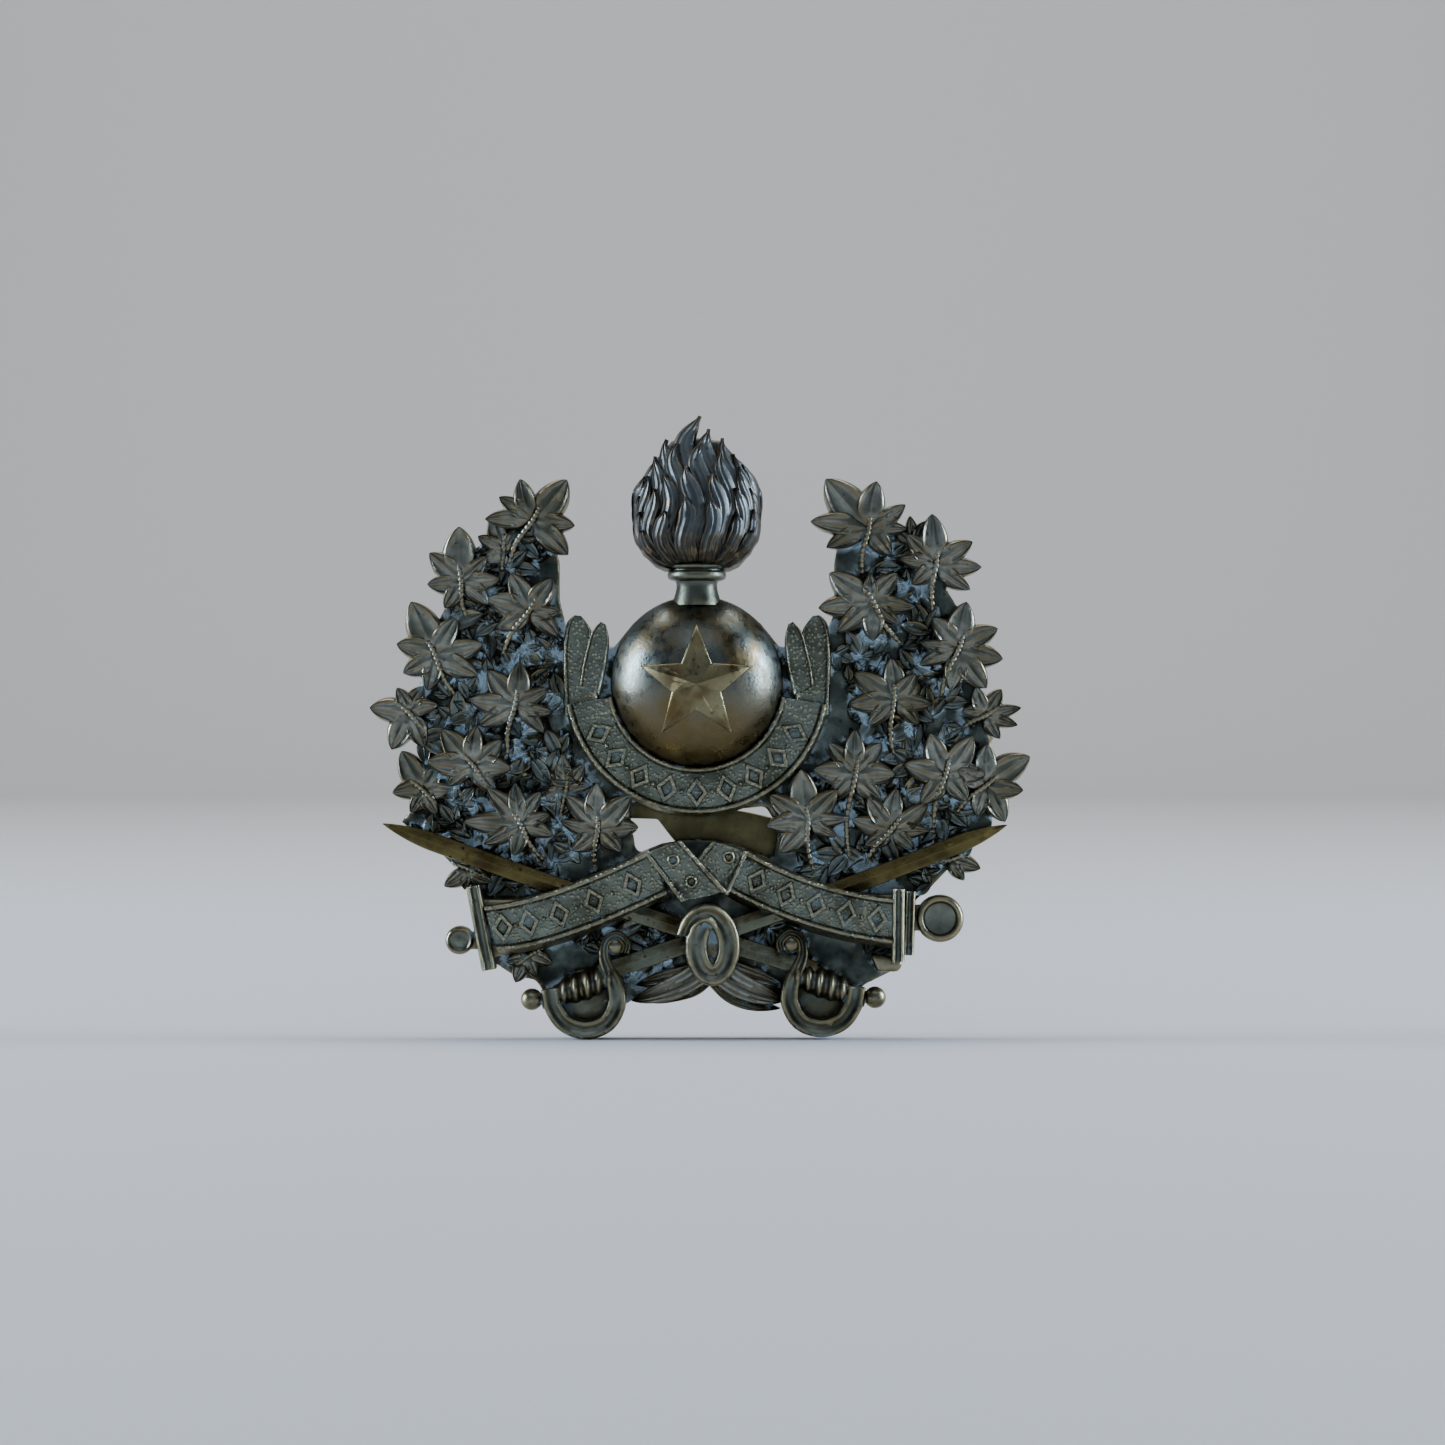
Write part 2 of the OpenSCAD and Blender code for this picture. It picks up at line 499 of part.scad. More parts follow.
wreath_plate();
left_leaves();
right_leaves();
grenade_ball();
grenade_star();
grenade_neck();
grenade_flame();
grenade_wires();
scroll_band();
scroll_left_curl();
scroll_right_curl();
ribbon_left_arm();
ribbon_right_arm();
ribbon_front_fold();
ribbon_back_fold();
gun_breech();
gun_cascabel();
gun_muzzle();
gun_muzzle_ring();
left_sabre_blade();
left_sabre_hilt();
right_sabre_blade();
right_sabre_hilt();
tie_ring();
left_sprig();
right_sprig();
back_brace();
left_lug();
right_lug();
lug_solder();
split_pin();
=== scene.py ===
import math
import random

import bpy
import numpy as np
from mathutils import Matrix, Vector, noise


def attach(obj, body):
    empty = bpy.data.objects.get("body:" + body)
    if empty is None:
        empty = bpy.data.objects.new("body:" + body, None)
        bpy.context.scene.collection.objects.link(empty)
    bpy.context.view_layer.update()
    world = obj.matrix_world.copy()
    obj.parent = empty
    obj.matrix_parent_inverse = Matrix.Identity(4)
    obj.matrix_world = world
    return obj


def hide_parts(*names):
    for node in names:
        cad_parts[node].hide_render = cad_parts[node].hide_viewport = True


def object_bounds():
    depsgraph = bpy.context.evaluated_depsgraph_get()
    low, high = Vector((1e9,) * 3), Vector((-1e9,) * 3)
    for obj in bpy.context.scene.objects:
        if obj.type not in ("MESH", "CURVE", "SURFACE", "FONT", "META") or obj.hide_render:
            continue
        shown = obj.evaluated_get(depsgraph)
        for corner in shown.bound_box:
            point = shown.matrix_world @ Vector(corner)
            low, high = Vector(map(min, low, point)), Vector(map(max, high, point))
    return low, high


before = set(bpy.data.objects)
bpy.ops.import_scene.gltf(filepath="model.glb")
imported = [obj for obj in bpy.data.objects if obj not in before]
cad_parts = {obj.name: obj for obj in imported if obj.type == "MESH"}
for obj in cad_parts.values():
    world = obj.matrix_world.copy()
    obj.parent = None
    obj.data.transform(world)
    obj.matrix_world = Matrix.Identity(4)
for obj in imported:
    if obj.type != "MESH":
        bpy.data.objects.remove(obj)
cad_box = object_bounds()

# Shapes are modelled in millimetres and become metres when a piece is finished.
# A place on the badge is (x, z, rise): x to the right, z up, rise from the cap towards the viewer, along -Y.
MM = 0.001
BADGE, PIN = "badge", "pin"

BACK = 0.0            # the plane that lies against the cap
PLATE_FRONT = 0.78    # the struck ground between the leaves
BALL_CENTRE = (0.0, 3.4)
BALL_R = 6.5
DOME_R = 7.2          # radius of the sphere that the ball's face is part of
SKIRT_RISE = 1.9
RIBBON_GROUND = 3.05
SCROLL_GROUND = 2.0
PIN_BACK = -4.7       # rise of the split pin's axis, behind the plate
LUG_X = 17.0
RING_AT = (1.2, -16.5)  # centre of the tie ring
AXIS_R = 0.001        # a ring this small is merged into a point on the axis
SEAM = 0.002          # vertices closer than this are merged


# ---------------------------------------------------------------- modelling tools

def deselect():
    bpy.ops.object.select_all(action="DESELECT")


def only(piece):
    """Makes piece the one selected and active object."""
    deselect()
    piece.select_set(True)
    bpy.context.view_layer.objects.active = piece
    return piece


def close_up(piece):
    """Merges the seams and poles of a piece and turns its faces outwards."""
    only(piece)
    bpy.ops.object.mode_set(mode="EDIT")
    bpy.ops.mesh.select_all(action="SELECT")
    bpy.ops.mesh.remove_doubles(threshold=SEAM)
    bpy.ops.mesh.normals_make_consistent(inside=False)
    bpy.ops.object.mode_set(mode="OBJECT")
    return piece


def join(name, pieces):
    """Joins pieces into one mesh."""
    deselect()
    for piece in pieces:
        piece.select_set(True)
    bpy.context.view_layer.objects.active = pieces[0]
    if len(pieces) > 1:
        bpy.ops.object.join()
    pieces[0].name = name
    return pieces[0]


def modify(piece, kind, **settings):
    """Adds a modifier to piece and applies it."""
    only(piece)
    modifier = piece.modifiers.new(kind.title(), kind)
    for setting, value in settings.items():
        setattr(modifier, setting, value)
    bpy.ops.object.modifier_apply(modifier=modifier.name)
    return piece


def finish_piece(piece, slot, material, *nodes, body=BADGE, crease=50):
    """Turns a closed piece into metres, attaches it to its body and hides the CAD nodes that it replaces."""
    close_up(piece)
    if nodes:
        piece.name = nodes[0] + "_struck"
    piece.scale = (MM, MM, MM)
    bpy.ops.object.transform_apply(location=True, rotation=True, scale=True)
    bpy.ops.object.shade_smooth_by_angle(angle=math.radians(crease))
    piece.data.materials.clear()
    piece.data.materials.append(material)
    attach(piece, body)
    if nodes:
        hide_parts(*nodes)
    return piece


def mix(a, b, t):
    return tuple(p + (q - p) * t for p, q in zip(a, b))


def clamp(value, low=0.0, high=1.0):
    return max(low, min(high, value))


def ease(t):
    """Goes from 0 to 1 with level ends."""
    t = clamp(t)
    return t * t * (3 - 2 * t)


def through(points, t):
    """The point at t, from 0 to 1, on a smooth curve through the points."""
    last = len(points) - 1
    i = min(int(t * last), last - 1)
    f = t * last - i
    a, b = points[max(i - 1, 0)], points[i]
    c, d = points[i + 1], points[min(i + 2, last)]
    return tuple(
        0.5 * (2 * q + (r - p) * f + (2 * p - 5 * q + 4 * r - s) * f * f + (3 * q - p - 3 * r + s) * f ** 3)
        for p, q, r, s in zip(a, b, c, d)
    )


def heading(points, t, step, axis=1):
    """The direction of a smooth curve at t, in the plane of x and that axis."""
    ahead, behind = through(points, min(t + step, 1)), through(points, max(t - step, 0))
    return Vector((ahead[0] - behind[0], ahead[axis] - behind[axis])).normalized()


def bearings(degrees):
    """The unit vector in a direction, and the one to its left."""
    turn = math.radians(degrees)
    return (math.cos(turn), math.sin(turn)), (-math.sin(turn), math.cos(turn))


def lattice(name, along, across, place):
    """A grid primitive with each vertex taken to place(i, k), which gives x, z and rise."""
    bpy.ops.mesh.primitive_grid_add(x_subdivisions=along, y_subdivisions=across, size=2)
    piece = bpy.context.object
    piece.name = name
    for vertex in piece.data.vertices:
        i = round((vertex.co.x + 1) / 2 * along)
        k = round((vertex.co.y + 1) / 2 * across)
        x, z, rise = place(i, k)
        vertex.co = (x, -rise, z)
    return piece


def strip(name, rings, section, spot):
    """A solid strip. section is its closed outline, as (across, level) pairs, and
    spot(t, across, level) gives the place of each of its points, t going from 0 to 1."""
    middle = tuple(sum(p) / len(section) for p in zip(*section))

    def place(i, k):
        point = middle if i in (0, rings) else section[k % len(section)]
        return spot(clamp((i - 1) / (rings - 2)), *point)

    return lattice(name, rings, len(section), place)


def turned(name, profile, sides, centre, axis="Y", stretch=1.0, roll=0.0):
    """A solid turned about an axis along Y or Z, by extruding and scaling a ring. profile holds
    (radius, height) pairs, with heights towards the viewer for Y. stretch narrows it, roll turns it."""
    radius, height = profile[0]
    deselect()
    bpy.ops.mesh.primitive_circle_add(vertices=sides, radius=max(radius, AXIS_R), fill_type="NGON",
                                      location=(0, 0, height))
    piece = bpy.context.object
    piece.name = name
    bpy.ops.object.transform_apply(location=True)
    bpy.ops.object.mode_set(mode="EDIT")
    bpy.ops.mesh.select_all(action="SELECT")
    for (r0, h0), (r1, h1) in zip(profile, profile[1:]):
        bpy.ops.mesh.extrude_region_move(TRANSFORM_OT_translate={"value": (0, 0, h1 - h0)})
        share = max(r1, AXIS_R) / max(r0, AXIS_R)
        bpy.ops.transform.resize(value=(share, share, 1), center_override=(0, 0, h1))
    bpy.ops.object.mode_set(mode="OBJECT")
    piece.scale = (stretch, 1, 1)
    bpy.ops.object.transform_apply(scale=True)
    piece.rotation_euler = (math.pi / 2, -math.radians(roll), 0) if axis == "Y" else (0, 0, 0)
    piece.location = centre
    bpy.ops.object.transform_apply(location=True, rotation=True)
    return piece


def round_section(sides):
    return [(math.cos(2 * math.pi * k / sides), math.sin(2 * math.pi * k / sides)) for k in range(sides)]


def tube(name, points, radius, rings=40, sides=10):
    """A round bar along a smooth curve. radius(t) gives its radius, and its ends close."""
    def spot(t, across, level):
        x, z, rise = through(points, t)
        along = heading(points, t, 0.01)
        r = radius(t)
        return x - along.y * across * r, z + along.x * across * r, rise + level * r

    return strip(name, rings, round_section(sides), spot)


def band(name, points, section, half_width, rings=60, lift=lambda t: 0.0):
    """A strip whose middle follows a smooth curve through (x, z) points."""
    def spot(t, across, level):
        x, z = through(points, t)
        along = heading(points, t, 0.01)
        side = across * half_width(t)
        return x - along.y * side, z + along.x * side, level + lift(t)

    return strip(name, rings, section, spot)


def grain(x, z, size, seed=0.0):
    """Smooth noise from -1 to 1, with features of that size in millimetres."""
    return noise.noise(Vector((x / size, z / size, seed)))


# ---------------------------------------------------------------- leaves

# Leaves: (x, z, lies low, lobes), each lobe as (direction in degrees, length), and where the stalk goes.
LEFT_LEAVES = [
    (-12.4, 15.6, False, ((-44, 3.6), (-7, 3.1), (50, 3.9), (107, 3.2), (145, 3.0), (178, 3.5)),
     (-14.4, 11.9)),
    (-17.8, 11.0, False, ((-175, 2.5), (-122, 2.3), (-40, 2.6), (3, 2.8), (44, 2.6), (92, 4.0), (138, 3.1)),
     (-17.3, 7.9)),
    (-12.7, 8.7, False, ((-152, 2.6), (-39, 2.8), (0, 2.3), (55, 3.0), (115, 3.1), (163, 3.2)), (-14.8, 5.3)),
    (-19.8, 5.5, False, ((-149, 2.7), (-101, 2.7), (-26, 3.5), (12, 3.6), (60, 3.1), (114, 4.2), (165, 2.9)),
     (-17.9, 2.0)),
    (-13.7, 1.7, False, ((-150, 3.1), (-44, 2.9), (-12, 2.8), (26, 2.6), (84, 3.1), (129, 3.2), (174, 3.4)),
     (-14.3, -2.6)),
    (-16.9, -2.9, False, ((-141, 2.4), (-50, 2.5), (-5, 2.8), (42, 2.8), (85, 2.9), (131, 3.5), (176, 3.4)),
     (-14.6, -5.4)),
    (-13.3, -7.4, False, ((-153, 3.0), (-103, 2.3), (-18, 2.5), (20, 2.3), (60, 2.8), (98, 3.1), (132, 3.6),
                          (177, 4.2)), (-11.5, -10.2)),
    (-7.5, -7.8, False, ((-141, 2.4), (-42, 2.3), (4, 3.0), (46, 3.5), (91, 3.4), (132, 3.4), (166, 2.8)),
     (-7.6, -11.2)),
    (-21.8, 1.1, True, ((-115, 3.0), (-66, 2.8), (15, 2.2), (62, 2.2), (115, 2.0), (173, 2.9)),
     (-19.4, -0.9)),
    (-20.7, -4.8, True, ((-176, 2.3), (-119, 1.9), (-60, 2.0), (0, 2.3), (60, 2.4), (119, 3.3)),
     (-18.0, -7.0)),
    (-9.9, -4.8, True, ((-170, 2.2), (-60, 2.0), (12, 1.8), (55, 2.3), (96, 2.7), (138, 2.3)), (-10.2, -8.6)),
    (-17.3, -10.7, True, ((-143, 2.2), (-100, 1.6), (-30, 2.0), (60, 2.0), (140, 1.8)), (-14.8, -11.6)),
    (-14.6, 13.3, True, ((-160, 2.0), (60, 2.0), (109, 2.8), (150, 2.2)), (-14.6, 11.0)),
    (-12.7, -17.3, True, ((-165, 1.8), (-117, 2.2), (-70, 1.7), (-20, 1.8)), (-11.0, -16.0)),
]
RIGHT_LEAVES = [
    (13.0, 15.0, False, ((-156, 3.4), (-50, 2.5), (0, 2.8), (33, 3.2), (81, 3.5), (131, 4.8), (173, 4.3)),
     (12.6, 11.0)),
    (18.1, 12.3, False, ((-140, 2.3), (-37, 3.1), (-4, 3.3), (32, 3.1), (95, 3.7), (135, 3.0), (172, 2.7)),
     (17.9, 8.6)),
    (13.3, 9.5, False, ((-173, 4.0), (-139, 3.4), (-90, 2.9), (-40, 2.6), (-8, 3.1), (50, 2.7), (95, 2.0),
                        (147, 3.8)), (15.6, 6.2)),
    (19.8, 5.9, False, ((-158, 3.1), (-101, 3.1), (-55, 3.5), (-13, 3.3), (28, 3.2), (81, 3.5), (130, 3.0),
                        (172, 2.8)), (18.4, 1.6)),
    (14.9, 2.1, False, ((-173, 3.3), (-135, 2.7), (-45, 2.6), (-8, 2.8), (49, 2.5), (94, 3.0), (147, 3.5)),
     (15.0, -2.6)),
    (12.0, -3.6, False, ((-135, 2.6), (-45, 2.6), (0, 2.9), (50, 3.0), (91, 3.3), (130, 3.0), (173, 3.1)),
     (11.6, -10.4)),
    (18.8, -3.6, False, ((-130, 2.8), (-50, 2.5), (0, 2.9), (55, 3.4), (111, 3.2), (166, 3.1)), (17.9, -7.9)),
    (21.9, -4.4, False, ((-108, 2.4), (-63, 3.0), (-8, 2.7), (34, 3.8), (90, 3.0), (150, 2.4)), (19.6, -6.6)),
    (8.4, -7.1, False, ((-173, 3.0), (-132, 3.1), (-28, 2.4), (3, 2.9), (47, 3.1), (98, 3.8), (146, 3.4)),
     (9.0, -11.4)),
    (14.7, -7.8, False, ((-150, 2.2), (-40, 2.2), (0, 2.7), (36, 3.3), (83, 3.1), (125, 3.0), (165, 3.0)),
     (12.6, -10.8)),
    (21.9, 0.9, True, ((-60, 2.0), (-18, 2.4), (12, 2.6), (60, 2.2), (110, 2.2), (170, 1.8)), (19.6, -0.6)),
    (19.3, -10.0, True, ((-60, 1.8), (-18, 2.2), (40, 2.0), (130, 2.0), (180, 1.6)), (17.4, -10.8)),
    (16.3, 13.8, True, ((-150, 1.8), (20, 1.8), (60, 2.0), (95, 2.1), (140, 1.8)), (15.9, 11.4)),
]

# A lobe's outline across: flared wall, raised rim, dished half, faint vein, and the same again, then the
# underside, which is hollow along its middle.
LOBE_HALF = ((1.0, -2.4), (0.96, -1.2), (0.9, 0.0), (0.84, 0.8), (0.76, 1.0), (0.68, 0.85), (0.56, 0.5),
             (0.4, 0.36), (0.24, 0.42), (0.1, 0.55), (0.04, 0.66))
UNDER = -9.0
LOBE_SECTION = (
    [(-a, h) for a, h in LOBE_HALF] + [(0, 0.68)] + [(a, h) for a, h in reversed(LOBE_HALF)]
    + [(0.88, UNDER), (0, UNDER), (-0.88, UNDER)]
)
LOBE_RELIEF = 0.3
LOBE_RINGS = 22
LEAF_FLOOR = 0.45     # the foot of a lobe, inside the plate
EDGE_THICKNESS = 0.8  # of a lobe at its tip
VEIN_STEP = 0.6       # spacing of a leaf's side veins
LOBE_WIDTH = 0.31     # half a lobe's width, as a share of its length
STALK_R = 0.24
STALK_BEAD = 0.36     # spacing of the beads along a stalk


def lobe(root, direction, length, half_width, heights, floor, bend):
    """One pointed lobe. heights are its rise at the root, in the middle and at the tip."""
    ahead, side = bearings(direction)
    start = -0.3

    def spot(t, across, level):
        reach = start + t * (length - start)
        if t < 0.5:
            width = half_width * (0.34 + 0.66 * math.sin(math.pi / 2 * t / 0.5))
        else:
            width = half_width * max(0.05, math.cos(math.pi / 2 * (t - 0.5) / 0.5) ** 0.66)
        sway = across * width + bend * math.sin(math.pi * t)
        x = root[0] + ahead[0] * reach + side[0] * sway
        z = root[1] + ahead[1] * reach + side[1] * sway
        crown = heights[0] + (heights[1] - heights[0]) * math.sin(math.pi / 2 * clamp(t / 0.6))
        crown += (heights[2] - heights[1]) * clamp((t - 0.55) / 0.45) ** 2
        if level <= UNDER / 2:
            under = floor + (crown - EDGE_THICKNESS - floor) * ease((t - 0.3) / 0.7)
            return x, z, under + (0.2 if across == 0 else 0)
        arched = 1 - 1.3 * across * across
        dished = level
        if 0.2 < abs(across) < 0.75:
            phase = 2 * math.pi * (reach - abs(across) * width * 1.2) / VEIN_STEP
            dished -= 0.16 * (0.5 + 0.5 * math.cos(phase))
        shape = arched + (dished - arched) * ease((t - 0.25) / 0.3)
        return x, z, crown - LOBE_RELIEF * (1 - shape) * (0.35 + 0.65 * clamp((1 - t) / 0.2))

    return strip("lobe", LOBE_RINGS, LOBE_SECTION, spot)


def stalk(start, end, rise):
    """A beaded stalk: the leaf's main vein, which crosses its centre and runs down to the ground."""
    past_centre = 1.5
    length = math.dist(start, end)
    away = ((start[0] - end[0]) / length, (start[1] - end[1]) / length)
    lean = 0.07 * length
    middle = mix(start, end, 0.5)
    middle = (middle[0] - away[1] * lean, middle[1] + away[0] * lean)
    top = (start[0] + away[0] * past_centre, start[1] + away[1] * past_centre)
    points = [(*top, rise + 0.05), (*start, rise + 0.12), (*middle, rise - 0.05), (*end, rise - 0.75)]
    beads = (length + past_centre) / STALK_BEAD

    def radius(t):
        beading = 0.87 + 0.13 * math.cos(2 * math.pi * t * round(beads))
        ends = clamp(min(t * 0.5, 1 - t) / 0.06)
        return max(0.03, STALK_R * (0.75 + 0.25 * math.sin(math.pi * t)) * beading * ends)

    return tube("stalk", points, radius, int(beads * 7), 8)


def leaf(place, rng):
    """A leaf's lobes and stalk, each a little uneven. A lobe is no wider than the gap to its neighbour."""
    x, z, low, lobes, foot = place
    lobes_made = []
    base = rng.uniform(-0.06, 0.1) - (0.5 if low else 0.0)
    turns = [turn for turn, length in lobes]
    for i, (turn, length) in enumerate(lobes):
        gap = min(abs((turn - other + 180) % 360 - 180) for other in turns if other != turn)
        width = min(LOBE_WIDTH * length + 0.08, 0.82 * length * math.tan(math.radians(gap / 2)))
        width += rng.uniform(-0.03, 0.03)
        heights = (1.5 + base, 1.98 + base + rng.uniform(-0.1, 0.1), 1.9 + base + rng.uniform(-0.35, 0.2))
        lobes_made.append(lobe((x, z), turn, length * 1.03, max(width, 0.55), heights, LEAF_FLOOR + 0.015 * i,
                               rng.uniform(-0.16, 0.16)))
    lobes_made.append(stalk((x, z), foot, 1.66 + base))
    return lobes_made


def spray(name, leaves, seed):
    """One side of the wreath."""
    rng = random.Random(seed)
    made = [join("leaf", leaf(place, rng)) for place in leaves]
    return join(name, made)


# A small lobe's outline across: two raised rims and a middle vein, between plain walls.
LOW_SECTION = [(-1.0, -2.0), (-0.88, 0.4), (-0.74, 1.0), (-0.45, 0.5), (-0.1, 0.6), (0.0, 0.95), (0.1, 0.6),
               (0.45, 0.5), (0.74, 1.0), (0.88, 0.4), (1.0, -2.0), (0.8, UNDER), (-0.8, UNDER)]
LOW_RELIEF = 0.2
# A sprig's lobes: the direction of each from the middle one, and its share of that one's length.
SPRIG_LOBES = ((-50, 0.82), (0, 1.0), (50, 0.82))
TIP_MARGIN = 1.15     # how far past its length a lobe's tip has to be over the ground


def low_lobe(root, direction, length, top):
    """A small lobe of the undergrowth, with few faces."""
    ahead, side = bearings(direction)

    def spot(t, across, level):
        width = LOBE_WIDTH * length * max(0.06, math.sin(math.pi * (0.12 + 0.88 * t)) ** 0.8)
        x = root[0] + ahead[0] * t * length + side[0] * across * width
        z = root[1] + ahead[1] * t * length + side[1] * across * width
        return x, z, LEAF_FLOOR if level <= UNDER / 2 else top - 0.3 * (1 - t) - LOW_RELIEF * (1 - level)

    return strip("low_lobe", 12, LOW_SECTION, spot)


def undergrowth(name, seed, count, region):
    """Sprigs of three small lobes, low between the leaves, which fill the struck ground within a box."""
    rng = random.Random(seed)
    (x0, z0), (x1, z1) = region
    made = []
    while len(made) < len(SPRIG_LOBES) * count:
        root = (rng.uniform(x0, x1), rng.uniform(z0, z1))
        direction = rng.uniform(0, 360)
        length = rng.uniform(1.6, 2.9)
        lobes = [(direction + turn, length * share) for turn, share in SPRIG_LOBES]
        tips = []
        for turn, reach in lobes:
            angle = math.radians(turn)
            tips.append((root[0] + TIP_MARGIN * reach * math.cos(angle),
                         root[1] + TIP_MARGIN * reach * math.sin(angle)))
        if not all(on_ground(*point) for point in [root] + tips):
            continue
        top = rng.uniform(1.1, 1.55)
        made += [low_lobe(root, turn, reach, top + rng.uniform(-0.12, 0.12)) for turn, reach in lobes]
    return join(name, made)


# ---------------------------------------------------------------- struck plate

PLATE_OUTLINE = [
    (-10.4, 12.6), (-11.6, 15.4), (-13.0, 16.2), (-14.7, 15.1), (-17.0, 13.4), (-18.6, 11.5),
    (-19.2, 8.8), (-20.5, 6.5), (-20.9, 3.5), (-21.8, 1.1), (-21.2, -1.4), (-20.5, -3.3),
    (-21.4, -5.8), (-22.4, -7.2), (-19.8, -9.2), (-17.8, -11.2), (-17.0, -12.2),
    (-16.3, -15.1), (-15.5, -17.8), (-13.8, -18.9), (-12.2, -19.2), (-10.8, -21.4),
    (-8.1, -22.6), (-5.9, -21.3), (-4.3, -20.4), (0.3, -19.0), (3.6, -20.4), (7.1, -20.8),
    (9.2, -22.2), (11.4, -21.4), (12.6, -19.6), (15.2, -18.3), (15.7, -16.3), (16.5, -13.2),
    (17.8, -12.1), (19.4, -10.4), (20.1, -9.4), (22.4, -7.6), (22.4, -5.6), (22.2, -3.0),
    (22.2, -0.3), (22.0, 1.6), (21.0, 3.5), (20.8, 5.8), (20.2, 8.4), (19.0, 10.3),
    (18.8, 12.6), (17.0, 13.8), (15.0, 15.0), (13.4, 15.6), (11.8, 15.4), (10.7, 14.0),
    (10.4, 12.4), (10.4, 8.6), (9.8, 7.2), (7.4, 6.8), (6.4, 5.9), (4.8, 7.9), (2.6, 9.4), (0, 9.8),
    (-2.6, 9.4), (-4.8, 7.9), (-6.4, 5.9), (-7.4, 6.8), (-9.8, 7.2), (-10.4, 9.6),
]
OPENING = [(-5.2, -5.7), (-4.6, -9.6), (-2.6, -8.8), (0, -8.4), (3.0, -8.9), (5.8, -10.0), (6.2, -7.7),
           (5.2, -6.0), (0, -6.6)]
# Parts of the face that the ground lies behind: a centre and a radius for each.
COVERED = [(BALL_CENTRE, 10.2), ((-8.3, -20.5), 3.3), ((9.3, -20.4), 3.5), (RING_AT, 2.4)]


def inside(outline, x, z):
    """Whether a point lies inside an outline."""
    crossings = 0
    for (x0, z0), (x1, z1) in zip(outline, outline[1:] + outline[:1]):
        if (z0 > z) != (z1 > z) and x < x0 + (z - z0) * (x1 - x0) / (z1 - z0):
            crossings += 1
    return crossings % 2 == 1


def on_ground(x, z):
    """Whether a point lies on the struck ground, clear of the opening and of what covers the ground."""
    hidden = any(math.dist((x, z), centre) < radius for centre, radius in COVERED)
    return inside(PLATE_OUTLINE, x, z) and not inside(OPENING, x, z) and not hidden


def slab(name, outline, low, high):
    """A flat solid with that outline between two rises."""
    bpy.ops.mesh.primitive_circle_add(vertices=len(outline), fill_type="NGON")
    piece = bpy.context.object
    piece.name = name
    for vertex, (x, z) in zip(piece.data.vertices, outline):
        vertex.co = (x, -low, z)
    only(piece)
    bpy.ops.object.mode_set(mode="EDIT")
    bpy.ops.mesh.select_all(action="SELECT")
    bpy.ops.mesh.extrude_region_move(TRANSFORM_OT_translate={"value": (0, low - high, 0)})
    bpy.ops.mesh.select_all(action="SELECT")
    bpy.ops.mesh.normals_make_consistent(inside=False)
    bpy.ops.object.mode_set(mode="OBJECT")
    return piece


HOLLOW_DEPTH = 0.26   # of the reverse, under the lobes
HOLLOW_SHARE = 0.8    # of a lobe's length that is hollow behind
PLATE_VOXEL = 0.24    # fine enough for the hollows and the rough ground


def hollows():
    """Segments under the leaves' lobes, where the reverse is struck hollow."""
    return np.array([
        (x, z, x + length * HOLLOW_SHARE * math.cos(math.radians(turn)),
         z + length * HOLLOW_SHARE * math.sin(math.radians(turn)))
        for x, z, _, lobes, _ in LEFT_LEAVES + RIGHT_LEAVES for turn, length in lobes
    ])


def hollow_depth(points, lines):
    """How far under the lobes each point of the reverse is struck in, from 0 to 1."""
    a, b = lines[:, :2], lines[:, 2:]
    along = b - a
    depth = np.zeros(len(points))
    for p, d, size in zip(a, along, (along ** 2).sum(1)):
        t = np.clip(((points - p) @ d) / size, 0, 1)
        away = np.linalg.norm(points - p - t[:, None] * d, axis=1)
        depth = np.maximum(depth, 1 - np.clip((away - 0.15) / 0.55, 0, 1))
    return depth * depth * (3 - 2 * depth)


def wreath_plate(material):
    """The struck plate: open under the scroll, rough on its face and hollow behind the leaves."""
    plate = slab("struck_plate", PLATE_OUTLINE, BACK, PLATE_FRONT)
    gap = slab("gap", OPENING, -1, 2)
    modify(plate, "BOOLEAN", object=gap, operation="DIFFERENCE", solver="EXACT")
    bpy.data.objects.remove(gap)
    modify(plate, "REMESH", mode="VOXEL", voxel_size=PLATE_VOXEL)
    co = np.zeros(len(plate.data.vertices) * 3)
    plate.data.vertices.foreach_get("co", co)
    co = co.reshape(-1, 3)
    depth = hollow_depth(co[:, [0, 2]], hollows())
    for vertex, struck in zip(plate.data.vertices, depth):
        x, y, z = vertex.co
        if -y > PLATE_FRONT / 2:
            rough = 0.16 * grain(x, z, 1.3) + 0.07 * grain(x, z, 0.5, 4.0)
            vertex.co.y = y - rough
        else:
            vertex.co.y = y - HOLLOW_DEPTH * struck - 0.02 * grain(x, z, 1.8, 9.0)
    modify(plate, "SMOOTH", iterations=1, factor=0.4)
    return finish_piece(plate, "aged_brass", material, "wreath_plate")


# ---------------------------------------------------------------- grenade

BALL_PROFILE_STEPS = 30


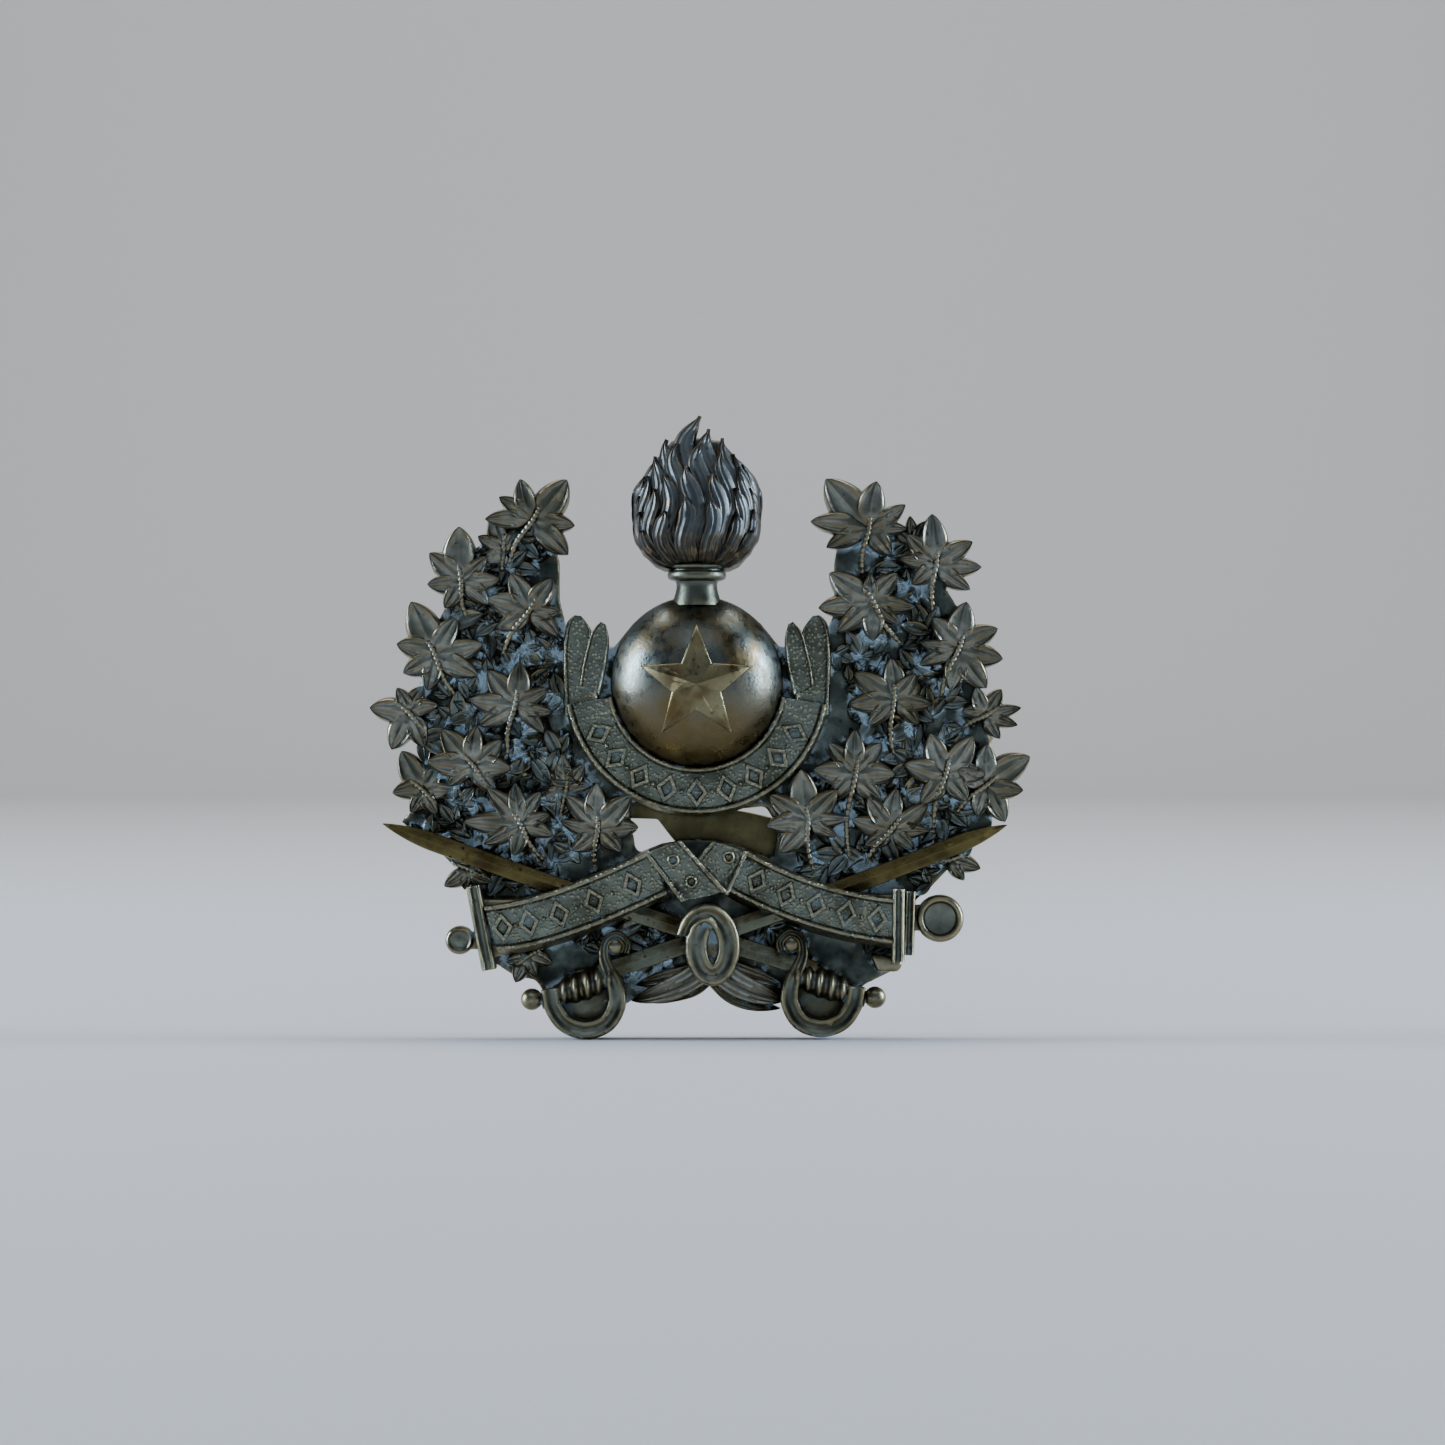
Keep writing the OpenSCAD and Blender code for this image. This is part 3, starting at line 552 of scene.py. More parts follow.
def grenade_ball(material):
    """The hollow ball: a domed face on a short skirt, open behind, with faint dents from wear."""
    centre_rise = SKIRT_RISE - math.sqrt(DOME_R ** 2 - BALL_R ** 2)
    rim_angle = math.asin(BALL_R / DOME_R)
    steps = [rim_angle * i / BALL_PROFILE_STEPS for i in range(BALL_PROFILE_STEPS + 1)]
    shell = 0.7
    inner = [((DOME_R - shell) * math.sin(a), centre_rise + (DOME_R - shell) * math.cos(a)) for a in steps]
    outer = [(DOME_R * math.sin(a), centre_rise + DOME_R * math.cos(a)) for a in steps]
    rim = [(BALL_R, 1.0), (BALL_R - 0.1, 0.9), (BALL_R - shell, 0.9)]
    piece = turned("hollow_ball", inner[:-1] + [(BALL_R - shell,
                                                 1.5)] + list(reversed(rim)) + list(reversed(outer)), 160,
                   (BALL_CENTRE[0], 0, BALL_CENTRE[1]))
    for vertex in piece.data.vertices:
        x, y, z = vertex.co
        vertex.co.y = y - 0.035 * grain(x, z, 2.6, 2.0) - 0.012 * grain(x, z, 0.8, 5.0)
    return finish_piece(piece, "worn_brass", material, "grenade_ball")


STAR_POINTS = 5
STAR_TIP, STAR_NOTCH = 4.5, 1.95
STAR_EDGE_RISE = 0.3      # height of the star's straight edges above the dome
STAR_SLOPE = 0.26         # how steeply its arms rise to their ridges


def grenade_star(material):
    """A raised star whose five arms rise to a ridge each, laid over the ball's dome."""
    centre_rise = SKIRT_RISE - math.sqrt(DOME_R ** 2 - BALL_R ** 2)
    half_arm = math.radians(180 / STAR_POINTS)
    sides = 200
    across_edge = STAR_TIP * STAR_NOTCH * math.sin(half_arm)
    reach = math.dist((STAR_TIP, 0), (STAR_NOTCH * math.cos(half_arm), STAR_NOTCH * math.sin(half_arm)))
    # Shares of the way out to the edge, with how much of the full height each ring has.
    rows = [(0.0, -1.0), (1.0, -1.0), (1.0, 0.55), (0.985, 0.9), (0.95, 1.0)]
    rows += [(0.9 - 0.09 * i, 1.0) for i in range(10)] + [(0.0, 1.0)]

    def place(i, k):
        turn = 2 * math.pi * k / sides
        from_tip = abs((turn + half_arm) % (2 * half_arm) - half_arm)
        edge = across_edge / (STAR_NOTCH * math.sin(half_arm - from_tip) + STAR_TIP * math.sin(from_tip))
        share, height = rows[i]
        x, z = edge * share * math.sin(turn), edge * share * math.cos(turn) - 0.2
        lift = STAR_EDGE_RISE + STAR_SLOPE * (1 - share) * across_edge / reach
        dome = math.sqrt(DOME_R ** 2 - x * x - z * z) + centre_rise
        return BALL_CENTRE[0] + x, BALL_CENTRE[1] + z, dome + lift * height

    piece = lattice("star", len(rows) - 1, sides, place)
    return finish_piece(piece, "worn_brass", material, "grenade_star", crease=22)


def grenade_neck(material):
    """The fuse neck: a waisted stem out of the ball, and a collar with two rings."""
    profile = [
        (1.9, 9.2), (1.75, 9.7), (1.62, 10.1), (1.54, 10.5), (1.54, 10.8), (1.62, 11.0), (1.95, 11.08),
        (2.16, 11.2), (2.22, 11.4), (2.2, 11.62), (2.06, 11.76), (1.92, 11.82), (1.92, 11.9), (2.04, 11.96),
        (2.16, 12.04), (2.2, 12.18), (2.1, 12.32), (1.7, 12.36), (0, 12.36),
    ]
    piece = turned("neck", profile, 64, (0, -1.5, 0), axis="Z")
    return finish_piece(piece, "aged_brass", material, "grenade_neck")


FLAME_BACK = 0.7
FLAME_FOOT, FLAME_TOP = 12.1, 23.5
FLAME_WIDTHS = [(12.1, 1.6), (12.35, 2.5), (12.8, 3.35), (13.5, 4.05), (14.5, 4.4), (16.0, 4.5), (17.6, 4.6),
                (18.8, 4.6), (19.7, 4.4), (20.5, 4.0), (21.3, 3.5), (22.1, 2.9), (22.8, 2.2), (23.5, 1.2)]
FLAME_RISES = [(12.1, 1.2), (12.5, 1.9), (13.2, 2.5), (14.4, 2.85), (16.5, 2.85), (18.5, 2.4), (20.5, 1.6),
               (22.3, 0.9), (23.5, 0.4)]


def read_off(table, z):
    """Reads a (height, value) table at z, with straight lines between its rows."""
    for (z0, a), (z1, b) in zip(table, table[1:]):
        if z <= z1:
            return a + (b - a) * clamp((z - z0) / (z1 - z0))
    return table[-1][1]


# Rows of tongues, from the back to the front: how far the row stands proud, how wide its tongues are, and
# each tongue's place across the bulb (-1 to 1) with the height of its tip.
FLAME_ROWS = [
    (0.0, 0.22, [(-0.93, 18.9), (-0.68, 20.2), (-0.42, 21.7), (-0.1, 23.5), (0.2, 22.5), (0.46, 21.8),
                 (0.66, 20.6), (0.82, 19.8), (0.96, 19.1)]),
    (0.2, 0.185, [(-0.99, 17.4), (-0.78, 18.9), (-0.52, 20.4), (-0.24, 21.4), (0.07, 21.5), (0.36, 20.7),
                  (0.65, 19.6), (0.9, 18.0)]),
    (0.4, 0.185, [(-0.86, 16.2), (-0.6, 17.9), (-0.34, 19.0), (-0.06, 19.6), (0.24, 19.0), (0.54, 18.0),
                  (0.84, 16.4)]),
    (0.55, 0.18, [(-0.7, 14.8), (-0.42, 16.2), (-0.14, 17.2), (0.15, 17.0), (0.45, 16.0), (0.73, 14.8)]),
]
# A tongue's outline across has four soft strands.
TONGUE_SECTION = [(-1.0, -1.6), (-0.98, -0.5), (-0.86, 0.3), (-0.68, 0.74), (-0.52, 0.6), (-0.36, 0.8),
                  (-0.18, 1.0), (-0.04, 0.8), (0.12, 0.9), (0.28, 0.96), (0.46, 0.6), (0.64, 0.62),
                  (0.84, 0.1), (0.98, -0.5), (1.0, -1.6), (0, -1.6)]
SWAY_LENGTH = 5.6     # height of one whole S of a tongue
TONGUE_SPREAD = 4.7   # half the width that a row of tongues shares out


def tongue(place, tip, lift, half_share):
    """One curling tongue, which runs up over the bulb to a free tip. place is its place across, -1 to 1."""
    foot = FLAME_FOOT + 0.1

    def middle(z):
        climb = clamp((z - foot) / 9)
        sway = (0.2 + 0.26 * climb) * math.sin(2 * math.pi * z / SWAY_LENGTH + 1.7 * place + 5 * lift)
        across = 0.9 * read_off(FLAME_WIDTHS, z) * math.sin(place * math.pi / 2)
        return across + sway * (0.15 + 0.85 * clamp((z - foot) / 2))

    def spot(t, across, level):
        z = foot + (tip - foot) * t
        slope = (middle(z + 0.1) - middle(z - 0.1)) / 0.2
        along = Vector((slope, 1)).normalized()
        width = read_off(FLAME_WIDTHS, z)
        half = TONGUE_SPREAD * half_share
        if t < 0.5:
            half *= 0.5 + 0.5 * clamp((width - 1.7) / 3)
        half *= max(0.16, 1 - max(0.0, (t - 0.76) / 0.24) ** 1.7)
        bulge = min(abs(middle(z)) / max(width, 0.3), 1.0)
        x, z = middle(z) + along.y * across * half * (1 - 0.45 * bulge), z - along.x * across * half
        shape = 0.5 * (1 - 0.3 * t) * level
        outward = clamp(x / max(width, 0.3), -1, 1)
        rise = FLAME_BACK + read_off(FLAME_RISES, z) * math.sqrt(max(0.0, 1 - outward ** 2))
        rise = rise + 0.2 + lift + 0.15 * t * t
        return x + 0.5 * outward * (max(shape, 0) + lift), z, rise + shape

    return strip("tongue", 40, TONGUE_SECTION, spot)


def grenade_flame(material):
    """The flame: a cupped bulb under four rows of curling tongues."""
    rings = 40

    def bulb_spot(i, k):
        z = FLAME_FOOT + (FLAME_TOP - 1.6 - FLAME_FOOT) * i / rings
        turn = 2 * math.pi * k / 48
        squeeze = 0.0 if i in (0, rings) else 0.9 - 0.35 * ease((z - 18.5) / 4)
        level = read_off(FLAME_RISES, z) * (math.cos(turn) if math.cos(turn) > 0 else 0.1 * math.cos(turn))
        return read_off(FLAME_WIDTHS, z) * math.sin(turn) * squeeze, z, FLAME_BACK + 0.2 + level * squeeze

    parts = [lattice("bulb", rings, 48, bulb_spot)]
    for lift, half_share, tongues in FLAME_ROWS:
        parts += [tongue(place, tip, lift, half_share) for place, tip in tongues]
    return finish_piece(join("flame", parts), "flame_brass", material, "grenade_flame", crease=60)


def grenade_wires(material):
    """The two wires that hold the ball, bent over behind the plate."""
    parts = []
    for side in (-1, 1):
        bend = [(side * 3.5, 3.4, rise) for rise in (4.6, 3.0, 1.4, 0.2)]
        bend += [(side * 3.75, 3.4, -0.42), (side * 4.4, 3.4, -0.55), (side * 5.5, 3.4, -0.52),
                 (side * 6.6, 3.4, -0.5)]

        def spot(t, across, level, bend=bend):
            point = through(bend, t)
            along = heading(bend, t, 0.02, axis=2)
            radius = 0.48 - 0.12 * clamp((t - 0.93) / 0.07)
            return (point[0] - along.y * level * radius, point[1] + across * radius,
                    point[2] + along.x * level * radius)

        parts.append(strip("wire", 50, round_section(16), spot))
    return finish_piece(join("ball_wires", parts), "copper_wire", material, "grenade_wires")


# ---------------------------------------------------------------- scroll and ribbon

# A flat band with a raised rim along each edge: shares across it, from one edge to the other, and levels
# from the ground (0) to the top of the rim (1). FOOT is the foot of its walls.
FOOT = -9.0
RIMMED = [(0.0, 0.55), (0.02, 0.9), (0.05, 1.0), (0.085, 0.9), (0.11, 0.35), (0.14, 0.0), (0.3, 0.03),
          (0.5, 0.05), (0.7, 0.03), (0.86, 0.0), (0.89, 0.35), (0.915, 0.9), (0.95, 1.0), (0.98, 0.9),
          (1.0, 0.55)]


def rimmed_band(name, rings, edge_a, edge_b, ground, rim, foot, flare_a=0.0, flare_b=0.0):
    """A band ruled between two edge curves, each a function of t that gives (x, z)."""
    section = RIMMED + [(1.0, FOOT), (0.5, FOOT), (0.0, FOOT)]

    def spot(t, across, level):
        a, b = edge_a(t), edge_b(t)
        share = across
        if level <= FOOT / 2:
            width = math.dist(a, b)
            share = {0.0: -flare_a / width, 1.0: 1 + flare_b / width}.get(across, across)
        x, z = mix(a, b, share)
        return x, z, foot if level <= FOOT / 2 else ground + rim * level

    return strip(name, rings, section, spot)


def bezier(a, b, c):
    """A quadratic Bezier curve through a and c, drawn towards b."""
    return lambda t: mix(mix(a, b, t), mix(b, c, t), t)


def diamond(x, z, roll, ground, size):
    """A raised hollow diamond."""
    top = 0.36
    profile = [(size * 1.06, -0.12), (size, 0.22), (size * 0.93, top), (size * 0.6, top), (size * 0.52, 0.22),
               (size * 0.46, 0.02), (0, 0.02)]
    return turned("diamond", profile, 4, (x, -ground, z), stretch=0.74, roll=roll)


def pellet(x, z, ground, size):
    """A small raised dome."""
    profile = [(size, -0.1), (size, 0.1), (size * 0.85, 0.22), (size * 0.5, 0.31), (0, 0.34)]
    return turned("pellet", profile, 12, (x, -ground, z))


SCROLL_HALF_ANGLE = 80
SCROLL_MOTIFS = 9
SCROLL_STEP = 15.6
SCROLL_OUTER_R, SCROLL_INNER_R, SCROLL_MOTIF_R = 9.95, 6.45, 8.35


def around_ball(radius, degrees):
    """The place at a radius and a direction from the ball's centre."""
    turn = math.radians(degrees)
    return BALL_CENTRE[0] + radius * math.cos(turn), BALL_CENTRE[1] + radius * math.sin(turn)


def scroll_band(material):
    """The curved scroll under the ball, with nine diamonds and a pellet between each two."""
    def degrees(t):
        return -90 - SCROLL_HALF_ANGLE + 2 * SCROLL_HALF_ANGLE * t

    parts = [rimmed_band("scroll", 150, lambda t: around_ball(SCROLL_OUTER_R, degrees(t)),
                         lambda t: around_ball(SCROLL_INNER_R, degrees(t)), SCROLL_GROUND, 0.38, 0.5,
                         flare_a=0.25)]
    middle = (SCROLL_MOTIFS - 1) / 2
    for i in range(SCROLL_MOTIFS):
        turn = -90 + SCROLL_STEP * (i - middle)
        parts.append(diamond(*around_ball(SCROLL_MOTIF_R, turn), turn + 90, SCROLL_GROUND, 1.16))
        if i < SCROLL_MOTIFS - 1:
            parts.append(pellet(*around_ball(SCROLL_MOTIF_R, turn + SCROLL_STEP / 2), SCROLL_GROUND, 0.2))
    return finish_piece(join("scroll", parts), "stippled_brass", material, "scroll_band")


def scroll_curl(name, side, material):
    """A scroll's end, turned up beside the ball into two points, with a fold down its middle."""
    outer = [(9.95, 0.9), (10.0, 2.9), (10.05, 4.8), (10.0, 6.4), (9.75, 7.8), (9.2, 8.45)]
    inner = [(7.2, 0.9), (7.45, 2.6), (7.7, 4.2), (7.85, 5.8), (8.0, 7.3), (8.75, 8.4)]
    lap_outer = [(8.8, 3.2), (8.6, 4.6), (8.3, 5.9), (7.9, 7.2), (7.25, 7.95)]
    lap_inner = [(7.3, 2.4), (7.0, 3.8), (6.75, 5.2), (6.65, 6.6), (6.9, 7.75)]

    def edge(points):
        return lambda t: (side * through(points, t)[0], through(points, t)[1])

    parts = [rimmed_band("leafed", 60, edge(outer), edge(inner), 1.6, 0.2, 0.5, flare_a=0.15),
             rimmed_band("lap", 50, edge(lap_outer), edge(lap_inner), 1.95, 0.16, 0.6)]
    return finish_piece(join("curl", parts), "stippled_brass", material, name)


def ribbon_arm(name, top, bottom, motifs, material):
    """One arm of the folded ribbon, with a row of diamonds between its rims."""
    upper, lower = bezier(*top), bezier(*bottom)
    parts = [rimmed_band("arm", 90, upper, lower, RIBBON_GROUND, 0.42, 1.0, flare_a=0.12, flare_b=0.5)]
    for i in range(motifs):
        t = 0.1 + 0.78 * i / (motifs - 1)
        x, z = mix(upper(t), lower(t), 0.5)
        ahead, behind = mix(upper(t + 0.02), lower(t + 0.02), 0.5), mix(upper(t - 0.02), lower(t - 0.02), 0.5)
        roll = math.degrees(math.atan2(ahead[1] - behind[1], ahead[0] - behind[0]))
        parts.append(diamond(x, z, roll, RIBBON_GROUND, 1.12))
        if i < motifs - 1:
            half_step = 0.39 / (motifs - 1)
            parts.append(pellet(*mix(upper(t + half_step), lower(t + half_step), 0.5), RIBBON_GROUND, 0.17))
    return finish_piece(join("arm", parts), "stippled_brass", material, name)


def annulet(x, z, ground):
    """A small raised ring."""
    profile = [(0.52, -0.1), (0.5, 0.14), (0.43, 0.28), (0.34, 0.31), (0.26, 0.22), (0.2, 0.03), (0, -0.02)]
    return turned("annulet", profile, 28, (x, -ground, z))


def fold(name, edges, ground, foot, rings, material):
    """A flap of the ribbon crossed over its middle, with annulets on it."""
    (a0, a1), (b0, b1) = edges
    parts = [rimmed_band("flap", 40, lambda t: mix(a0, a1, t), lambda t: mix(b0, b1, t), ground, 0.3, foot)]
    parts += [annulet(x, z, ground) for x, z in rings]
    return finish_piece(join("flap", parts), "stippled_brass", material, name)


# ---------------------------------------------------------------- gun, sabres, tie ring

# A moulding's outline across: two rounded ridges and the groove between them.
DOUBLE_RIDGE = [(-1.0, -0.2), (-0.96, 0.5), (-0.8, 0.9), (-0.6, 1.0), (-0.38, 0.75), (-0.16, 0.45),
                (0.0, 0.4), (0.16, 0.45), (0.38, 0.75), (0.6, 1.0), (0.8, 0.9), (0.96, 0.5), (1.0, -0.2),
                (0.95, -2.0), (0.0, -2.0), (-0.95, -2.0)]


def bevelled_slab(name, outline, low, high, edge):
    """A flat solid with rounded edges."""
    piece = slab(name, outline, low, high)
    return modify(piece, "BEVEL", width=edge, segments=3, limit_method="ANGLE")


def moulding(name, ends, half_width, top):
    """A raised moulding with a groove down its middle."""
    a, b = ends
    points = [mix(a, b, t) for t in (0, 0.33, 0.67, 1)]
    section = [(c, top - 0.4 + 0.4 * h if h > -1 else 0.6) for c, h in DOUBLE_RIDGE]
    return band(name, points, section, lambda t: half_width, 30)


def gun_breech(material):
    """The breech end: a slanting base ring, and a reinforce that goes under the ribbon."""
    parts = [moulding("base_ring", ((-16.85, -12.0), (-15.65, -18.3)), 0.55, 3.1),
             bevelled_slab("reinforce", [(-16.6, -12.9), (-8.2, -13.0), (-8.2, -15.0), (-15.6, -17.5)], 0.6,
                           2.3, 0.4)]
    return finish_piece(join("breech", parts), "aged_brass", material, "gun_breech")


def gun_muzzle(material):
    """The muzzle end: two mouldings at the ribbon's end, and the barrel between them."""
    parts = [moulding("moulding", ((15.2, -12.2), (15.15, -17.7)), 0.48, 3.4),
             moulding("outer_moulding", ((16.1, -12.4), (15.95, -17.2)), 0.42, 2.8),
             bevelled_slab("chase", [(10.2, -12.6), (16.0, -12.6), (16.0, -17.0), (10.2, -15.4)], 0.6, 2.2,
                           0.3),
             bevelled_slab("foot", [(13.1, -17.2), (15.3, -17.4), (15.6, -17.9), (15.2, -18.5),
                                    (13.6, -18.5)], 0.6, 2.0, 0.3)]
    return finish_piece(join("muzzle", parts), "aged_brass", material, "gun_muzzle")


def gun_cascabel(material):
    """The button behind the breech: a disc with a fine rounded rim and a nearly flat face."""
    profile = [(0.95, 0.15), (1.05, 0.6), (1.08, 1.6), (1.06, 2.2), (0.98, 2.46), (0.88, 2.54), (0.8, 2.5),
               (0.72, 2.38), (0.6, 2.34), (0.3, 2.38), (0, 2.4)]
    parts = [turned("button", profile, 48, (-17.9, 0, -16.1)),
             bevelled_slab("button_neck", [(-17.4, -15.6), (-16.3, -15.3), (-16.0, -16.8), (-17.4, -16.8)],
                           0.6, 2.0, 0.3)]
    return finish_piece(join("cascabel", parts), "aged_brass", material, "gun_cascabel")


def gun_muzzle_ring(material):
    """The muzzle seen end on: a smooth round lip about a shallow bore."""
    profile = [(1.62, 0.15), (1.74, 0.5), (1.8, 1.8), (1.78, 2.35), (1.7, 2.6), (1.56, 2.76), (1.4, 2.76),
               (1.28, 2.62), (1.2, 2.45), (1.16, 2.36), (1.0, 2.32), (0, 2.3)]
    parts = [turned("lip", profile, 72, (18.35, 0, -14.45)),
             bevelled_slab("muzzle_neck", [(16.1, -13.5), (17.2, -13.4), (17.2, -15.4), (16.0, -15.4)], 0.6,
                           2.0, 0.3)]
    return finish_piece(join("muzzle_lip", parts), "aged_brass", material, "gun_muzzle_ring")


BLADE_SECTION = [(-1.0, 0.0), (-0.93, 0.35), (-0.5, 0.6), (-0.1, 0.92), (0.0, 1.0), (0.1, 0.92), (0.5, 0.6),
                 (0.93, 0.35), (1.0, 0.0), (0.9, -1.0), (0.0, -1.0), (-0.9, -1.0)]


def blade(name, tip, grip, bow, top, material):
    """A sabre's blade: two facets that meet in a ridge, a little curved, with a leaf-shaped point."""
    length = math.dist(tip, grip)
    ahead = ((grip[0] - tip[0]) / length, (grip[1] - tip[1]) / length)

    def spot(t, across, level):
        reach = 0.955 * length * t
        point = clamp(reach / 4.2)
        half = 0.7 * max(0.03, math.sin(math.pi / 2 * point) ** 0.8)
        side = across * half + bow * math.sin(math.pi * t)
        x = tip[0] + ahead[0] * reach - ahead[1] * side
        z = tip[1] + ahead[1] * reach + ahead[0] * side
        if level < 0:
            return x, z, 1.0
        return x, z, top - 0.45 + 0.45 * level * (0.5 + 0.5 * point)

    return finish_piece(strip("blade", 120, BLADE_SECTION, spot), "blade_brass", material, name, crease=25)


# A hilt's knuckle bow, from the pommel under the grip and up to the curl that holds the guard's ball.
# Places are from the bow's centre, outwards and up.
BOW = [(2.75, 0.75), (2.5, -0.6), (1.6, -1.85), (0.1, -2.35), (-1.45, -1.85), (-2.25, -0.5), (-2.15, 1.0),
       (-1.65, 2.2), (-1.3, 3.3), (-1.5, 4.4), (-2.3, 4.8), (-3.0, 4.2), (-2.9, 3.5)]
GRIP_AT, GRIP_SLOPE = (0.2, 1.0), math.radians(-20)
GRIP_HALF_LENGTH, GRIP_HALF_HEIGHT = 2.3, 1.12
POMMEL_AT, GUARD_BALL_AT = (4.15, -0.05), (-2.15, 4.0)


def hilt(name, centre, side, material):
    """A sabre's hilt: twisted grip, doubled knuckle bow ending in a curl, guard ball and pommel."""
    out = (math.cos(GRIP_SLOPE), math.sin(GRIP_SLOPE))

    def at(place):
        return centre[0] + side * place[0], centre[1] + place[1]

    def along_grip(along, across):
        return at((GRIP_AT[0] + out[0] * along - out[1] * across,
                   GRIP_AT[1] + out[1] * along + out[0] * across))

    def grip_spot(t, across, level):
        twist = math.sin(2 * math.pi * (t * 5 + across * 0.3))
        plump = math.sin(math.pi * (0.14 + 0.72 * t)) ** 0.6
        x, z = along_grip(GRIP_HALF_LENGTH * (2 * t - 1),
                          across * GRIP_HALF_HEIGHT * plump * (1 + 0.06 * twist))
        return x, z, 1.8 + (1.5 * level + 0.22 * twist * clamp(level * 2)) * plump if level > -0.3 else 0.9

    ball = [(0.35, 0.9), (0.6, 1.6), (0.72, 2.1), (0.68, 2.5), (0.5, 2.8), (0.26, 2.94), (0, 2.98)]
    knob = [(0.5, 0.8), (0.68, 1.3), (0.82, 1.9), (0.82, 2.2), (0.7, 2.6), (0.48, 2.84), (0.22, 2.95),
            (0, 2.97)]
    ball_at, pommel = at(GUARD_BALL_AT), at(POMMEL_AT)
    parts = [strip("grip", 100, round_section(30), grip_spot),
             band("bow", [at(p) for p in BOW], [(a, 2.5 + 0.4 * h if h > -1 else 0.9) for a,
                                                h in DOUBLE_RIDGE],
                  lambda t: 0.7 - 0.36 * ease((t - 0.42) / 0.35), 130),
             turned("bow_floor", [(2.0, 0.5), (2.15, 0.6), (2.15, 0.8), (1.9, 0.86), (0, 0.86)], 40,
                    (centre[0], 0, centre[1])),
             turned("guard_ball", ball, 32, (ball_at[0], 0, ball_at[1])),
             turned("pommel", knob, 36, (pommel[0], 0, pommel[1])),
             tube("pommel_neck", [(*along_grip(2.0, 0), 1.9), (*along_grip(2.7, 0), 1.9),
                                  (*along_grip(3.5, 0), 1.9)],
                  lambda t: 0.66 - 0.3 * math.sin(math.pi * clamp(t * 1.1)), 20, 16),
             tube("ferrule", [(*along_grip(-2.3, 0.7), 1.9), (*along_grip(-2.3, 0), 2.1),
                              (*along_grip(-2.3, -0.8), 1.9)],
                  lambda t: 0.42, 20, 16)]
    return finish_piece(join("hilt", parts), "aged_brass", material, name)



def tie_ring(material):
    """The ring that ties the stalks: a doubled strap wound round a pointed slit. Its end laps over its start
    and stands out past the ring, at the upper left."""
    half_wide, half_high, end_stands_out = 1.22, 2.1, 1.0

    def loop(share):
        turn = math.radians(100 + 425 * share)
        grow = end_stands_out * ease((share - 0.72) / 0.28)
        return (RING_AT[0] + (half_wide + grow) * math.cos(turn),
                RING_AT[1] + (half_high + grow) * math.sin(turn))

    def lift(t):
        return 0.35 * ease((t - 0.74) / 0.15) - 0.3 * ease((0.1 - t) / 0.1)

    section = [(a, 3.3 + 0.5 * h if h > -1 else 1.6) for a, h in DOUBLE_RIDGE]
    strap = band("strap", [loop(i / 24) for i in range(25)], section,
                 lambda t: 0.86 - 0.26 * ease((t - 0.7) / 0.3), 130, lift=lift)
    floor = turned("slit_floor", [(0.3, 1.6), (1.0, 1.8), (1.0, 2.85), (0, 2.9)], 32,
                   (RING_AT[0], 0, RING_AT[1]))
    for vertex in floor.data.vertices:
        vertex.co.z = RING_AT[1] + (vertex.co.z - RING_AT[1]) * 1.7
    return finish_piece(join("tie", [strap, floor]), "aged_brass", material, "tie_ring")


# A tail below the tie is fluted lengthwise.
FLUTED = [(-1.0, 0.0), (-0.93, 0.55), (-0.8, 0.7), (-0.62, 0.45), (-0.42, 0.8), (-0.2, 0.55), (0.0, 1.0),
          (0.2, 0.55), (0.42, 0.8), (0.62, 0.45), (0.8, 0.7), (0.93, 0.55), (1.0, 0.0), (0.9, UNDER),
          (0.0, UNDER), (-0.9, UNDER)]
# Each tail: the points that its middle follows, and its half width.
LEFT_SPRIG = [([(1.0, -18.0), (-0.9, -19.3), (-2.8, -20.1), (-4.9, -20.7)], 0.95),
              ([(0.9, -18.2), (-0.6, -18.7), (-2.6, -19.1), (-4.6, -19.5)], 0.8),
              ([(1.2, -18.6), (0.0, -19.7), (-1.4, -20.3), (-3.2, -20.9)], 0.55)]
RIGHT_SPRIG = [([(1.4, -18.2), (3.0, -19.4), (4.8, -20.2), (6.6, -20.7)], 1.0),
               ([(1.6, -17.8), (3.2, -18.5), (5.0, -19.1), (6.6, -19.6)], 0.75),
               ([(0.9, -18.6), (2.4, -20.2), (4.2, -21.0), (6.3, -21.3)], 0.6)]


def sprig(name, tails, material):
    """The tails of the tie, three to a side, each fluted and ending in a point."""
    parts = []
    for i, (points, half_width) in enumerate(tails):
        top = 1.95 - 0.15 * i
        section = [(a, 0.3 if h == UNDER else top - 0.3 + 0.3 * h) for a, h in FLUTED]

        def taper(t, half_width=half_width):
            return half_width * max(0.05, math.cos(math.pi / 2 * t ** 2.2))

        parts.append(band("tail", points, section, taper, 40))
    return finish_piece(join("sprig", parts), "leaf_brass", material, name)


# ---------------------------------------------------------------- reverse

BRACE = [(-7.0, -5.0), (-3.4, -5.3), (0, -5.8), (4.0, -6.5), (8.0, -7.4), (8.0, -10.4), (3.6, -10.1),
         (-0.9, -9.6), (-2.1, -8.2), (-3.0, -7.0), (-7.0, -6.9)]


def back_brace(material):
    """The strap soldered across the back of the opening."""
    piece = bevelled_slab("strap", BRACE, -0.78, -0.02, 0.14)
    return finish_piece(piece, "back_brass", material, "back_brace")


